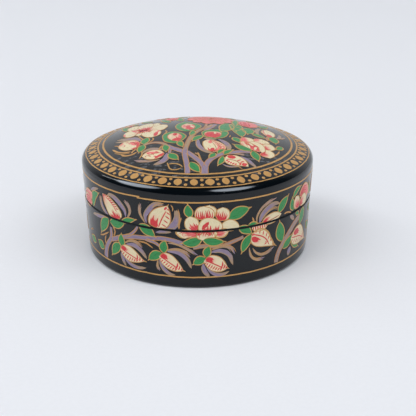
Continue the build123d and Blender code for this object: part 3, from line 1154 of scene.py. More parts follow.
        for middle, length, width, turn, pink in (
            ((-6.5, -10.1), 3.2, 2.2, 24, 0.1), ((-7.1, -5.8), 2.6, 1.5, 90, 0.1),
            ((-5.6, -7.4), 3.4, 0.9, 90, 0.8), ((3.6, -6.8), 3.6, 2.2, 84, 0.1),
            ((6.7, -6.4), 3.4, 1.6, 98, 0.25), ((4.8, -8), 2.6, 1.5, 0, 0.1), ((4.9, -6.2), 5, 4.6, 0, 0.2),
            ((-2.8, 0), 2.8, 2.4, 100, 0.1), ((-3.1, 2.1), 2.8, 1.7, 80, 0.35),
            ((-4.4, 2.2), 3.4, 1.1, 90, 1), ((-1.5, 3), 2.4, 0.9, 90, 1), ((7.1, -5.6), 2.6, 0.9, 98, 0.9),
        ):
            s.mark(middle, length, width, turn, pink)
        for middle, length, width, turn in (
            ((5.7, -4.8), 1.6, 1, 90), ((-1.7, 1.4), 1.6, 0.8, 90), ((-8.5, -7.4), 2.6, 0.9, 96),
        ):
            s.dab(Paint.PETAL, middle, length, width, turn, Layer.PETAL + 2, plain(0))

    def middle_bud(self) -> None:
        """The upright bud in the middle of the front."""
        s = self.spray
        s.sepal([(0.5, -10.4), (0.3, -13.4), (1.1, -16.4), (3, -18.8), (5.6, -19.8)], 1.5, brown=0.2)
        s.sepal([(6.6, -9.8), (8.5, -11.7), (9.8, -14.6), (9.7, -17.6)], 1.7, brown=0.3)
        s.sepal([(2, -9.6), (4.2, -10.2), (6.2, -9.8)], 1.3, brown=0.6)
        s.line([(-0.2, -10.8), (-0.3, -13.6), (0.5, -16.9), (2.8, -19.5)], 0.3, 0.3, Layer.SEPAL + 1)
        body = s.petal((5.1, -18.9), (3.2, -10.8), [(2.8, -17.8), (1.9, -15), (1.9, -12.4)],
                       [(7.6, -18.1), (9, -16), (8.2, -13.4), (5.8, -11.3)], about(0.3, 0.9, 0.14, 0.5),
                       0.35)
        s.mark((4.1, -12.4), 2.2, 1.4, 90, 0.8)
        s.flames(body, (0.16, 0.56), (0.04, 0.36), 5, 0.9, 0.1)
        s.mark((4.8, -17.2), 1.9, 1.3, 60, 0.1)
        s.flames(body, (0.6, 0.96), (0.1, 0.7), 3, 0.7, 1)
        s.dashes(body, (0.97, 0.7), (0.12, 0.9), 9, 0.36, layer=Layer.PETAL + 2)
        for across in (0.56, 0.74):
            s.line([body.at(across, v) for v in (0.04, 0.34, 0.64, 0.9)], 0.2, 0.7, Layer.PETAL + 2)

    def front_bud(self) -> None:
        """The fan-shaped bud at the front right."""
        s = self.spray
        s.sepal([(13.2, -20.2), (15.3, -21.4), (16.8, -23.4), (18.2, -25.2)], 1.2)
        s.sepal([(7.6, -25.4), (9.6, -26.4), (12, -26), (13.4, -25.8)], 0.6, brown=0.3)
        s.line([(12.2, -25.7), (13, -26.3), (13.8, -27)], 0.34, 0.4)
        s.hairs([(11, -19.2), (13, -18.9), (15, -19)], 0.9, 3)
        fan = s.petal((9.3, -20.5), (15.6, -25.3), [(12, -20), (14.2, -21.4), (15.4, -23.6)],
                      [(8.4, -22.6), (8.8, -24.6), (10.6, -25.6), (13.4, -25.4)],
                      about(0.3, 0.15, 0.14, 0.6))
        s.mark((10.6, -21.2), 2.8, 1.9, 0, 0.1)
        s.line([(8.7, -22.6), (11, -22.8), (12.6, -23.6), (13.2, -25.1)], 0.3, 0.95, Layer.PETAL + 2)
        s.dashes(fan, (0.97, 0.7), (0.3, 0.66), 5, 0.6, -0.02)
        s.mark((14.5, -24.6), 2.2, 1.2, 62, 0.5)
        for x, y, turn in (
            (13.2, -24.5, 70), (14, -24.3, 62), (14.8, -24.5, 58), (13.8, -23.2, 40), (12.8, -22.6, 40),
        ):
            s.mark((x, y), 1.9, 0.55, turn, 0.1, Layer.PETAL + 2)

    def rose(self) -> None:
        """The open rose at the right, with long slanting petals."""
        s = self.spray
        back, middle, front = Layer.PETAL, Layer.MIDDLE_PETAL, Layer.FRONT_PETAL
        first = s.petal((17.4, -10), (16, -6), [(14, -10), (13.8, -7.8), (14.6, -6.2)],
                        [(18.2, -8.4), (17.6, -6.4)], about(0.15, 0.55, 0.3, 1), layer=back)
        s.flames(first, (0.1, 0.4), (0.1, 0.7), 2, 0.9, 0.6)
        second = s.petal((19.6, -10), (20.6, -5.2), [(18.1, -8.2), (18.3, -6)], [(22.6, -8.6), (22.8, -6.4)],
                         about(0.1, 0.6, 0.22, 0.9), layer=back)
        s.flames(second, (0.3, 0.95), (0.02, 0.34), 4, 0.6, 0.3)
        third = s.petal((20.8, -12.4), (23.6, -8.4), [(20.8, -9.8), (22, -8)],
                        [(22.6, -13.2), (24.4, -11.8), (24.6, -10)], about(0.4, 0.1, 0.3, 1), layer=back)
        s.flames(third, (0.2, 0.9), (0.04, 0.44), 4, 0.8)
        strip = s.petal((14.6, -9.4), (15.8, -14), [(16.4, -10.4), (16.8, -12.8)],
                        [(13.5, -10.6), (14, -12.6)], about(0.9, 0.5, 0.3, 0.6), layer=back)
        s.flames(strip, (0.1, 0.5), (0.2, 0.8), 2, 0.6)
        inner = s.petal((16.4, -10.2), (19.4, -15.6), [(19.6, -11.4), (20.6, -14)],
                        [(15.6, -12.4), (17, -15)], about(0.5, 0.4, 0.5, 1), layer=middle)
        s.flames(inner, (0.1, 0.95), (0.04, 0.9), 5, 1, 0.1, middle + 1)
        for x, y, turn in ((16.2, -13.2, 100), (18.2, -13.6, 78), (17, -11.2, 120)):
            s.dab(Paint.PETAL, (x, y), 2.6, 0.9, turn, middle + 2)
        low = s.petal((20.4, -16.2), (22.6, -18.2), [(20.8, -13.4), (23.4, -13.4), (24.2, -16)],
                      [(19.4, -17), (20.4, -18)], about(0.8, 0.3, 0.3, 1), layer=back)
        s.flames(low, (0.55, 1), (0.02, 0.6), 4, 0.9)
        s.petal((16.2, -9.2), (20.2, -15.6), [(18.6, -8.6), (20.8, -10.4), (21.4, -13.2), (21, -15.2)],
                [(17.4, -10.6), (19.2, -12.2), (19.4, -14.4)], plain(0), 0.4, layer=front)
        s.mark((20.9, -15.4), 2.6, 0.5, 66, 0.1, front + 1)

    def cream_flower(self) -> None:
        """The many-petalled cream flower at the left."""
        s = self.spray
        back, middle, front = Layer.PETAL, Layer.MIDDLE_PETAL, Layer.FRONT_PETAL
        for base, tip, left, right, layer in (
            ((-18.6, 3), (-22.2, 12.2), [(-22, 4.4), (-23.8, 8.6)], [(-18.8, 6.4), (-19.8, 10.6)], back),
            ((-16.2, 3), (-13.6, 10.8), [(-16.2, 6), (-15.4, 9.8)], [(-13.6, 4.4), (-12.6, 8.4)], back),
            ((-17.4, 3), (-17.2, 12), [(-20, 6.4), (-19.4, 10.8)], [(-15, 6.4), (-15.2, 10.6)], middle),
            ((-16.6, 1.6), (-9.8, 3.8), [(-15.4, 4.8), (-12.6, 6.9), (-10.4, 6)], [(-14, 0), (-11.2, 0.2)],
             middle),
            ((-18.8, 1.4), (-24.3, 3), [(-20.2, -1.6), (-22.4, -2.4), (-24.2, 0)],
             [(-20.8, 4.6), (-23, 5.2)], middle),
            ((-18.6, 1.2), (-19, -2.8), [(-17.8, -0.8), (-18.2, -2.4)], [(-19.6, -0.4), (-20, -2.2)], back),
            ((-17, 1.2), (-14.6, -6.2), [(-13.2, 0.6), (-11.8, -2), (-12.4, -5.2)],
             [(-18.2, -1.4), (-17.4, -4.2), (-16, -5.8)], front),
        ):
            shape = s.petal(base, tip, left, right, from_the_base(0.22, 0.3), layer=layer)
            s.flames(shape, (0.12, 0.9), (0.02, 0.42), 5, 0.4, 0, layer + 1)
        s.mark((-13.4, -3.6), 4, 1.4, 86, 0.2, front + 1)
        s.mark((-12.7, -1.2), 2.6, 1, 80, 0.7, front + 1)
        s.mark((-23.9, 0.6), 3.4, 0.7, 100, 0.9, middle + 1)
        s.mark((-20.9, 3.4), 4.4, 1, 118, 0.5, middle + 1)
        for x, turn in ((-19.6, 130), (-18.8, 116), (-18, 102), (-17.2, 90), (-16.4, 74), (-15.6, 60)):
            s.mark((x, 3.9), 3.4, 0.42, turn, 0, front + 1)
        s.mark((-17.6, 1.2), 2.6, 1, 0, 0.1, front + 2)
        s.dab(Paint.LINE, (-15.6, 0.2), 1.8, 1, 60, front + 1, plain(0.7))

    def pink_flower(self) -> None:
        """The large pink flower at the back: a ring of petals round a full middle."""
        s = self.spray
        middle = Vector((4.3, 14.6))
        for ring, (count, reach, width, layer) in enumerate((
            (11, 8.2, 5, Layer.PETAL),
            (9, 5.8, 3.8, Layer.MIDDLE_PETAL),
            (6, 3.4, 2.8, Layer.FRONT_PETAL),
        )):
            for i in range(count):
                turn = math.tau * (i + ring * 0.4) / count
                out = Vector((math.cos(turn), math.sin(turn) * 1.12))
                shape = s.stroke(Paint.PETAL,
                                 [middle + out * 0.6, middle + out * reach * 0.6, middle + out * reach],
                                 width, layer, Taper.DAB, plain(0.86))
                s.edge(shape, layer + 2, 0.5, width=0.2)
                s.flames(shape, (0.2, 0.85), (0.1, 0.75), 4, 0.6, 0.5, layer + 1)

    def back(self) -> None:
        """The pink flower and the cream bud at the back right, and what grows down the back."""
        s = self.spray
        pink = s.petal((17.2, 5.8), (16.8, 17), [(14.2, 8), (13.7, 12), (14.8, 15.8)],
                       [(19.8, 8.4), (20.2, 12), (19.4, 15.4)], plain(0.8))
        s.flames(pink, (0.08, 0.6), (0.06, 0.86), 4, 1, 0.2)
        s.flames(pink, (0.6, 0.92), (0.1, 0.6), 2, 0.8, 0.7)
        s.sepal([(20, -1.6), (19.5, 1.6), (19.9, 4.6), (21, 7.4)], 1.3, brown=0.7)
        s.sepal([(25.8, -0.8), (26.9, 1.6), (27.2, 4.8)], 1.1, brown=0.5)
        s.hairs([(25.8, -1), (27.8, 0.8), (28.7, 3.4)], 0.9, 3)
        s.bud((23.3, -1.4), (23.2, 7.4), [(25, 0), (25.6, 3), (25, 5.6)], [(21.6, 1), (21, 3.6), (21.8, 6)],
              4, (0.5, 0.2), 1.25, 0.84, 0)
        for base, tip, width in (
            ((21.4, 8.6), (23.8, 14.2), 2.8), ((-5.4, 10.6), (-6, 17.6), 2.4),
            ((-15.6, 14.6), (-19.6, 20.6), 2.8), ((-6.6, 19.4), (-3.4, 25.6), 2.8),
            ((12.6, 19.4), (10.6, 26.4), 2.8), ((16.8, 19), (20.4, 21.6), 2.4),
            ((-20.6, 14), (-22.8, 17.6), 2.2),
        ):
            s.leaf(base, tip, width, 0.06)
        s.stem([(5, 22.4), (5.6, 25.4), (8.6, 28.2)], 1.2, 0.8)
        s.stem([(-7.8, 12.6), (-9, 16.6), (-12.4, 20.6), (-15.4, 23)], 1, 0.8, brown=0.5)
        small = s.petal((-8.4, 12.8), (-9.4, 20.8), [(-10.8, 15), (-11, 18.6)], [(-6.8, 15), (-7, 18.6)],
                        plain(0.9))
        s.flames(small, (0.15, 0.9), (0.06, 0.7), 5, 0.8, 0.2)
        s.bud((-13.4, 20.6), (-11.2, 26.8), [(-14.8, 22.4), (-13.6, 25.6)], [(-11.4, 21.6), (-10.2, 24.4)],
              5, (0.3, 0.24))
        s.bud((-22.4, 14.2), (-24.8, 18.4), [(-24.4, 14.4), (-25.4, 16.6)], [(-21.8, 15.8), (-23, 17.8)], 4,
              (0.3, 0.24))


@dataclass
class Border:
    """The gold rings, ovals and dots round the lid's top, and the gold line near each end of the wall.

    Attributes:
        rings: Radius and width of each ring on the crown.
        ring_strokes: How many strokes each ring is drawn in.
        ovals: How many large ovals there are.
        oval_ring: Radius of the circle on which their middles lie.
        oval_size: Length outwards and width of an oval.
        first_oval: Degrees round to the first one, from the front.
        rubbed_oval: Which one is rubbed and brown, counted from the first.
        dots: Distance out, length and width of the two dots between ovals.
        lid_line: Height and width of the line on the lid's wall.
        base_line: Height and width of the line on the base's wall.
        wall_strokes: How many strokes each line on the wall is drawn in.
        stagger: Height of a line on the wall whose strokes would start one whole stroke further round.
        slip: How far too high one stroke of the lid's line ends, at the left.
        spray: The crown's touches.
    """

    rings: tuple[Point, ...] = ((30.8, 0.62), (32.47, 0.48), (36.47, 0.3))
    ring_strokes: int = 6
    ovals: int = 46
    oval_ring: float = 34.4
    oval_size: Point = (2.95, 2.5)
    first_oval: float = -1.1
    rubbed_oval: int = -2
    dots: tuple[tuple[float, float, float], ...] = ((33.4, 1.1, 1.15), (35.45, 1.05, 1.15))
    lid_line: Point = (28.46, 0.44)
    base_line: Point = (3.9, 0.44)
    wall_strokes: int = 8
    stagger: float = 73.5
    slip: float = 0.38
    spray: Spray = field(default_factory=lambda: Spray(seed=31))

    def round_line(self, radius: float, width: float) -> None:
        """A ring on the crown, drawn in long strokes that overlap a little.

        Args:
            radius: Radius of the ring.
            width: Width of the line.
        """
        overlap, steps = 1.02, 12
        for i in range(self.ring_strokes):
            start = i / self.ring_strokes * math.tau + radius
            turns = [start + math.tau / self.ring_strokes * (j / steps) * overlap for j in range(steps + 1)]
            points = [(radius * math.sin(a), -radius * math.cos(a)) for a in turns]
            self.spray.stroke(Paint.LINE, points, width, Layer.STEM + i % 2, Taper.EVEN, plain(0.0))

    def crown(self) -> Spray:
        """Draws the rings, ovals and dots of the lid's top.

        Returns:
            The spray with all its touches.
        """
        s = self.spray
        for radius, width in self.rings:
            self.round_line(radius, width)
        for i in range(self.ovals):
            turn = math.radians(self.first_oval + 360 * i / self.ovals)
            tilt = s.hand.uniform(-7, 7)
            out = self.oval_ring + s.hand.uniform(-0.12, 0.08)
            length = self.oval_size[0] * s.hand.uniform(0.92, 1.06)
            width = self.oval_size[1] * s.hand.uniform(0.92, 1.08)
            rubbed = (i - self.rubbed_oval) % self.ovals == 0
            self.spot(turn, out, length, width, tilt, 0.32 if rubbed else 0.0)
            between = turn + math.pi / self.ovals
            for out, length, width in self.dots:
                self.spot(between, out, length * s.hand.uniform(0.85, 1.1), width, s.hand.uniform(-12, 12))
        return s

    def spot(self, turn: float, out: float, length: float, width: float, tilt: float,
             brown: float = 0.0) -> None:
        """Sets one gold dab on the crown, pointing outwards.

        Args:
            turn: How far round it lies, in radians from the front.
            out: Distance of its centre from the crown's middle.
            length: Its size outwards.
            width: Its size across that.
            tilt: Degrees that it is turned from pointing outwards.
            brown: How brown it is.
        """
        middle = (out * math.sin(turn), -out * math.cos(turn))
        angle = math.degrees(turn) - 90 + tilt
        self.spray.dab(Paint.LINE, middle, length, width, angle, Layer.SEPAL, plain(brown))

    def wall(self, half_turn: float) -> Spray:
        """Draws the gold line near the top of the lid's wall and near the foot of the base's.

        Args:
            half_turn: Half the distance round the wall at its rim.

        Returns:
            A spray with the two lines.
        """
        s = Spray(seed=37)
        strokes, overlap, steps = self.wall_strokes, 1.03, 10
        for height, width in (self.lid_line, self.base_line):
            for i in range(strokes):
                start = (i + height / self.stagger) * 2 * half_turn / strokes
                length = 2 * half_turn / strokes * overlap
                slips = i == strokes - 2 and height == self.lid_line[0]
                climb = self.slip if slips else 0.0
                points = [(start + length * j / steps, height + climb * (j / steps) ** 3)
                          for j in range(steps + 1)]
                s.stroke(Paint.LINE, points, width, Layer.STEM + i % 2, Taper.EVEN, plain(0.0))
        return s


# ------------------------------------------------------------------ enamel on the box
Group = tuple[Place, Sequence[Touch], Point]


@dataclass
class Enamel:
    """Turns the touches of a spray into thin raised enamel on the box.

    Attributes:
        first_coat: Height of the lowest touch above the lacquer.
        coat: Height that each layer adds.
        depth: Thickness of a touch. Its underside lies inside the lacquer.
        step: Longest side of a facet.
        wander: How far an edge strays from its true line.
        crease: Degrees between faces past which an edge of the enamel is sharp.
    """

    first_coat: float = 0.02
    coat: float = 0.006
    depth: float = 0.16
    step: float = 0.8
    wander: float = 0.07
    crease: float = 40.0

    def sheet(self, mesh: bmesh.types.BMesh, touch: Touch, hand: random.Random) -> None:
        """Adds one touch to a flat mesh.

        Args:
            mesh: The flat mesh.
            touch: The touch.
            hand: The hand's irregularities.
        """
        along = max(3, math.ceil(touch.shape.length / self.step))
        across = max(1, math.ceil(touch.shape.width / self.step))
        grid = bmesh.ops.create_grid(mesh, x_segments=across, y_segments=along, size=1.0)["verts"]
        brush = mesh.verts.layers.float_vector["brush"]
        tint = mesh.verts.layers.float["tint"]
        number = hand.uniform(0.0, 60.0)
        height = self.first_coat + self.coat * touch.layer
        for vert in grid:
            u, v = (vert.co.x + 1) / 2, (vert.co.y + 1) / 2
            spot = touch.shape.at(u, v)
            stray = noise.noise_vector(Vector((spot.x * 0.5, spot.y * 0.5,
                                               touch.layer * 3.1))) * self.wander
            vert[brush] = Vector(((u - 0.5) * touch.shape.width, v * touch.shape.length, number))
            vert[tint] = touch.tint(u, v)
            vert.co = Vector((spot.x + stray.x, spot.y + stray.y, height))
        bmesh.ops.remove_doubles(mesh, verts=grid, dist=0.015)

    def wrapped(self, place: Place, touches: Sequence[Touch], band: Point, seed: int) -> bmesh.types.BMesh:
        """Lays touches flat, trims them to a band, thickens them and wraps them round the box.

        Args:
            place: The surface that they lie on.
            touches: The touches.
            band: Lowest and highest v that is kept.
            seed: Start of the hand's irregularities.

        Returns:
            The enamel on that surface.
        """
        flat = bmesh.new()
        flat.verts.layers.float_vector.new("brush")
        flat.verts.layers.float.new("tint")
        hand = random.Random(seed)
        for touch in touches:
            self.sheet(flat, touch, hand)
        for height, outward in zip(band, (-1.0, 1.0)):
            bmesh.ops.bisect_plane(
                flat,
                geom=[*flat.verts, *flat.edges, *flat.faces],
                dist=1e-4,
                plane_co=(0.0, height, 0.0),
                plane_no=(0.0, outward, 0.0),
                clear_outer=True,
            )
        flat.normal_update()
        bmesh.ops.reverse_faces(flat, faces=[f for f in flat.faces if f.normal.z < 0])
        # The thickness is added below each touch, where it lies inside the lacquer.
        bmesh.ops.solidify(flat, geom=flat.faces[:], thickness=self.depth)
        for vert in flat.verts:
            vert.co = place.put(vert.co)
        return flat

    def build(self, name: str, groups: Sequence[Group], seed: int) -> bpy.types.Object:
        """Builds one piece of enamel from touches on one or more surfaces.

        Args:
            name: Name of the piece.
            groups: For each surface, the touches on it and the band of v that is kept.
            seed: Start of the hand's irregularities.

        Returns:
            The piece, in its place.
        """
        whole = bpy.data.meshes.new(name)
        joined = bmesh.new()
        for place, touches, band in groups:
            part = bpy.data.meshes.new("part")
            wrapped = self.wrapped(place, touches, band, seed)
            wrapped.to_mesh(part)
            wrapped.free()
            joined.from_mesh(part)
            bpy.data.meshes.remove(part)
        joined.to_mesh(whole)
        joined.free()
        whole.shade_smooth()
        whole.set_sharp_from_angle(angle=math.radians(self.crease))
        piece = bpy.data.objects.new(name, whole)
        bpy.context.scene.collection.objects.link(piece)
        return piece


# ------------------------------------------------------------------ shaders
class Value:
    """A number that changes over a surface or the sky, with arithmetic that adds Math nodes."""

    def __init__(self, shader: "Nodes", socket: bpy.types.NodeSocket) -> None:
        """Wraps a node's output.

        Args:
            shader: The nodes that it belongs to.
            socket: The output that gives the number.
        """
        self.shader = shader
        self.socket = socket

    def _math(self, operation: str, first: "Value | float", second: "Value | float") -> "Value":
        """A Math node on two values."""
        node = self.shader.node("ShaderNodeMath", {"operation": operation}, {0: first, 1: second})
        return Value(self.shader, node.outputs[0])

    def __add__(self, other: "Value | float") -> "Value":
        """self + other."""
        return self._math("ADD", self, other)

    def __radd__(self, other: float) -> "Value":
        """other + self."""
        return self._math("ADD", other, self)

    def __sub__(self, other: "Value | float") -> "Value":
        """self - other."""
        return self._math("SUBTRACT", self, other)

    def __mul__(self, other: "Value | float") -> "Value":
        """self * other."""
        return self._math("MULTIPLY", self, other)

    def ramp(self, low: float, high: float, to_low: float = 0.0, to_high: float = 1.0) -> "Value":
        """The value moved smoothly from one span to another, and kept inside it."""
        node = self.shader.node(
            "ShaderNodeMapRange",
            {"interpolation_type": "SMOOTHSTEP", "clamp": True},
            {"Value": self, "From Min": low, "From Max": high, "To Min": to_low, "To Max": to_high},
        )
        return Value(self.shader, node.outputs["Result"])


Colour = tuple[float, float, float]
Spot = tuple[float, float, float]


def screen(red: int, green: int, blue: int) -> Colour:
    """Turns a colour as it looks on a screen into the scene's linear numbers.

    Args:
        red: From 0 to 255.
        green: From 0 to 255.
        blue: From 0 to 255.

    Returns:
        The linear colour.
    """

    def linear(level: int) -> float:
        """One channel in linear numbers."""
        share = level / 255
        return share / 12.92 if share <= 0.04045 else ((share + 0.055) / 1.055) ** 2.4

    return linear(red), linear(green), linear(blue)


class Nodes:
    """The nodes of one material or of the world."""

    def __init__(self, owner: bpy.types.Material | bpy.types.World) -> None:
        """Clears the owner's nodes.

        Args:
            owner: The material or the world.
        """
        owner.use_nodes = True
        self.tree = owner.node_tree
        self.tree.nodes.clear()

    def node(self, kind: str, settings: dict, sockets: dict) -> bpy.types.Node:
        """Adds a node.

        Args:
            kind: The node's type.
            settings: Its settings, which are set first.
            sockets: A value, or what links to it, for each input by name or number.

        Returns:
            The node.
        """
        node = self.tree.nodes.new(kind)
        for name, value in settings.items():
            setattr(node, name, value)
        for key, value in sockets.items():
            self.feed(node.inputs[key], value)
        return node

    def feed(self, socket: bpy.types.NodeSocket, value: object) -> None:
        """Links an output to a socket, or sets the socket to a number or a colour.

        Args:
            socket: The input.
            value: What it gets.
        """
        source = value.socket if isinstance(value, Value) else value
        if isinstance(source, bpy.types.NodeSocket):
            self.tree.links.new(source, socket)
        elif isinstance(value, tuple) and socket.type == "RGBA":
            socket.default_value = (*value, 1.0)
        else:
            socket.default_value = value


class Shader(Nodes):
    """The nodes of one material, built round one Principled shader."""

    def __init__(self, name: str) -> None:
        """Starts a material.

        Args:
            name: The material's name.
        """
        self.material = bpy.data.materials.new(name)
        super().__init__(self.material)
        self.surface = self.node("ShaderNodeBsdfPrincipled", {}, {})
        self.node("ShaderNodeOutputMaterial", {}, {"Surface": self.surface.outputs[0]})

    def place(self) -> bpy.types.NodeSocket:
        """The object's own coordinates, in metres."""
        return self.node("ShaderNodeTexCoord", {}, {}).outputs["Object"]

    def attribute(self, name: str) -> bpy.types.Node:
        """An attribute of the piece."""
        return self.node("ShaderNodeAttribute", {"attribute_name": name}, {})

    def scaled(self, vector: object, scale: tuple[float, float, float]) -> bpy.types.NodeSocket:
        """A vector with its three axes scaled."""
        node = self.node("ShaderNodeVectorMath", {"operation": "MULTIPLY"}, {0: vector, 1: scale})
        return node.outputs[0]

    def noise(self, vector: object, scale: float, detail: float = 3.0, rough: float = 0.5) -> Value:
        """Soft noise, from about 0.25 to 0.75."""
        node = self.node("ShaderNodeTexNoise", {},
                         {"Vector": vector, "Scale": scale, "Detail": detail, "Roughness": rough})
        return Value(self, node.outputs["Fac"])

    def specks(self, vector: object, scale: float, size: float) -> Value:
        """Small separate spots: 1 in the middle of each, 0 between them."""
        node = self.node("ShaderNodeTexVoronoi", {}, {"Vector": vector, "Scale": scale})
        return Value(self, node.outputs["Distance"]).ramp(size * 0.4, size, 1.0, 0.0)

    def mix(self, factor: Value | float, first: object, second: object) -> bpy.types.NodeSocket:
        """A mix of two colours."""
        node = self.node("ShaderNodeMix", {"data_type": "RGBA"}, {0: factor, 6: first, 7: second})
        return node.outputs[2]

    def bump(self, height: Value, depth: float, strength: float = 1.0) -> None:
        """Feeds the surface's normal from a height that spans a depth in metres."""
        node = self.node("ShaderNodeBump", {}, {"Height": height, "Distance": depth, "Strength": strength})
        self.feed(self.surface.inputs["Normal"], node.outputs[0])


@dataclass(frozen=True)
class BlackLacquer:
    """Polished black lacquer over paper: brush ripple, specks of dust and rubbed, duller places.

    Attributes:
        name: The material's name.
        colour: The lacquer.
        thicker: The lacquer where it lies thicker.
        dust: Specks and rubbed places.
        gloss: Roughness of the polished lacquer.
        worn: Roughness that the dullest places add.
        ior: How strongly it mirrors.
        groove: Height of the parting line's groove, in metres, which is left dull.
        groove_reach: How far from that height the groove is dull, and where it ends.
        crown: Heights between which the wall passes into the handled crown.
        handled: Middle of each place on the lid that fingers have scuffed, and its reach, in metres.
    """

    name: str = "black_lacquer"
    colour: Colour = screen(3, 8, 13)
    thicker: Colour = screen(6, 12, 17)
    dust: Colour = screen(104, 106, 112)
    gloss: float = 0.085
    worn: float = 0.2
    ior: float = 1.43
    groove: float = 0.0193
    groove_reach: Point = (0.0004, 0.00046)
    crown: Point = (0.0325, 0.034)
    handled: tuple[tuple[Spot, float], ...] = (
        ((-0.014, -0.026, 0.0365), 0.024),
        ((0.0205, -0.0215, 0.0355), 0.013),
    )

    def scuffed(self, shader: Shader, place: bpy.types.NodeSocket, height: Value) -> Value:
        """Where fingers have scuffed the lid.

        Args:
            shader: The lacquer's nodes.
            place: The object's own coordinates.
            height: Height above the table.

        Returns:
            1 in the middle of the handled places, 0 away from them.
        """
        near = []
        for middle, reach in self.handled:
            apart = shader.node("ShaderNodeVectorMath", {"operation": "DISTANCE"}, {0: place, 1: middle})
            near.append(Value(shader, apart.outputs["Value"]).ramp(reach * 0.3, reach, 1.0, 0.0))
        return sum(near[1:], near[0]) * height.ramp(*self.crown)

    def make(self) -> bpy.types.Material:
        """Builds the material.

        Returns:
            The material.
        """
        shader = Shader(self.name)
        place = shader.place()
        height = Value(shader, shader.node("ShaderNodeSeparateXYZ", {}, {0: place}).outputs["Z"])
        scuffed = self.scuffed(shader, place, height)
        cloud = shader.noise(place, 60, 4)
        streaks = shader.noise(shader.scaled(place, (1.0, 1.0, 7.0)), 380, 5, 0.6)
        rubbed = shader.noise(place, 210, 6, 0.62).ramp(0.56, 0.74) * cloud.ramp(0.44, 0.62)
        specks = shader.specks(place, 900, 0.13) * shader.noise(place, 420, 2).ramp(0.5, 0.66)
        specks = specks + shader.specks(place, 1300, 0.2) * scuffed * cloud.ramp(0.45, 0.6)
        fine = shader.noise(shader.scaled(place, (0.5, 1.3, 1.0)), 760, 5, 0.7)
        scratches = fine.ramp(0.52, 0.62) * scuffed
        dust = (rubbed * 0.16 + specks * 0.7 + scratches * 0.8).ramp(0.0, 1.0)
        full, none = self.groove_reach
        groove = height.ramp(self.groove - none, self.groove - full) * height.ramp(
            self.groove + full, self.groove + none, 1.0, 0.0)
        tone = shader.mix(cloud.ramp(0.3, 0.7), self.colour, self.thicker)
        dull = rubbed * self.worn + streaks.ramp(0.4, 0.7) * 0.035 + specks * 0.3 + groove * 0.7
        shader.feed(shader.surface.inputs["Base Color"], shader.mix(dust, tone, self.dust))
        shader.feed(shader.surface.inputs["Roughness"], self.gloss + dull)
        shader.surface.inputs["IOR"].default_value = self.ior
        ripple = shader.noise(place, 130, 2) * 0.7 + streaks * 0.12 + specks * 0.3
        shader.bump(ripple, 0.00003, 0.55)
        return shader.material


@dataclass(frozen=True)
class InsideLacquer:
    """The satin black of the inside: thinner coats, brushed round, with the paper's unevenness.

    Attributes:
        name: The material's name.
        colour: The lacquer.
        thicker: The lacquer where it lies thicker.
        worn: Where it is thin and the paper shows through.
        satin: Roughness of the best covered places.
    """

    name: str = "inside_lacquer"
    colour: Colour = screen(24, 23, 24)
    thicker: Colour = screen(33, 31, 32)
    worn: Colour = screen(58, 50, 42)
    satin: float = 0.34

    def make(self) -> bpy.types.Material:
        """Builds the material.

        Returns:
            The material.
        """
        shader = Shader(self.name)
        place = shader.place()
        paper = shader.noise(place, 160, 5, 0.6)
        brushed = shader.noise(shader.scaled(place, (1.0, 1.0, 9.0)), 500, 4, 0.6)
        thin = shader.noise(place, 340, 6, 0.65).ramp(0.6, 0.8) * paper.ramp(0.4, 0.6)
        coat = shader.mix(paper, self.colour, self.thicker)
        shader.feed(shader.surface.inputs["Base Color"], shader.mix(thin * 0.7, coat, self.worn))
        shader.feed(shader.surface.inputs["Roughness"],
                    self.satin + brushed.ramp(0.3, 0.7) * 0.12 + thin * 0.25)
        shader.bump(paper * 0.8 + brushed * 0.35, 0.00008, 0.7)
        return shader.material


@dataclass(frozen=True)
class EnamelPaint:
    """A brushed enamel under varnish, which follows each touch of the brush.

    Attributes:
        name: The material's name.
        colour: The paint.
        second: What the tint turns it to.
        pale: Its thin, streaky places.
        streaking: How strong the streaks are.
        metal: How metallic it is.
        gloss: Its roughness.
        soft: How far noise breaks up the border of the tint.
        grime: What darkens the varnish in places.
    """

    name: str
    colour: Colour
    second: Colour
    pale: Colour
    streaking: float = 0.5
    metal: float = 0.0
    gloss: float = 0.26
    soft: float = 0.35
    grime: Colour = screen(40, 30, 26)

    def make(self) -> bpy.types.Material:
        """Builds the material.

        Returns:
            The material.
        """
        shader = Shader(self.name)
        brush = shader.attribute("brush").outputs["Vector"]
        tint = Value(shader, shader.attribute("tint").outputs["Fac"])
        place = shader.place()
        streaks = shader.noise(shader.scaled(brush, (4.2, 0.55, 1.0)), 1.0, 4, 0.55)
        grain = shader.noise(shader.scaled(brush, (2.0, 1.6, 1.0)), 2.2, 3, 0.5)
        cover = shader.noise(place, 260, 3)
        amount = (tint + (streaks - 0.5) * self.soft * 2).ramp(0.22, 0.78)
        body = shader.mix(streaks.ramp(0.36, 0.66) * self.streaking, self.colour, self.pale)
        mixed = shader.mix(amount, body, self.second)
        dark = shader.mix(0.32, mixed, self.grime)
        dirty = grain.ramp(0.56, 0.76) * cover.ramp(0.42, 0.6)
        shader.feed(shader.surface.inputs["Base Color"], shader.mix(dirty, mixed, dark))
        shader.feed(shader.surface.inputs["Roughness"], self.gloss + streaks.ramp(0.3, 0.7) * 0.12)
        shader.surface.inputs["Metallic"].default_value = self.metal
        shader.bump(streaks * 0.7 + grain * 0.3, 0.00004, 0.6)
        return shader.material


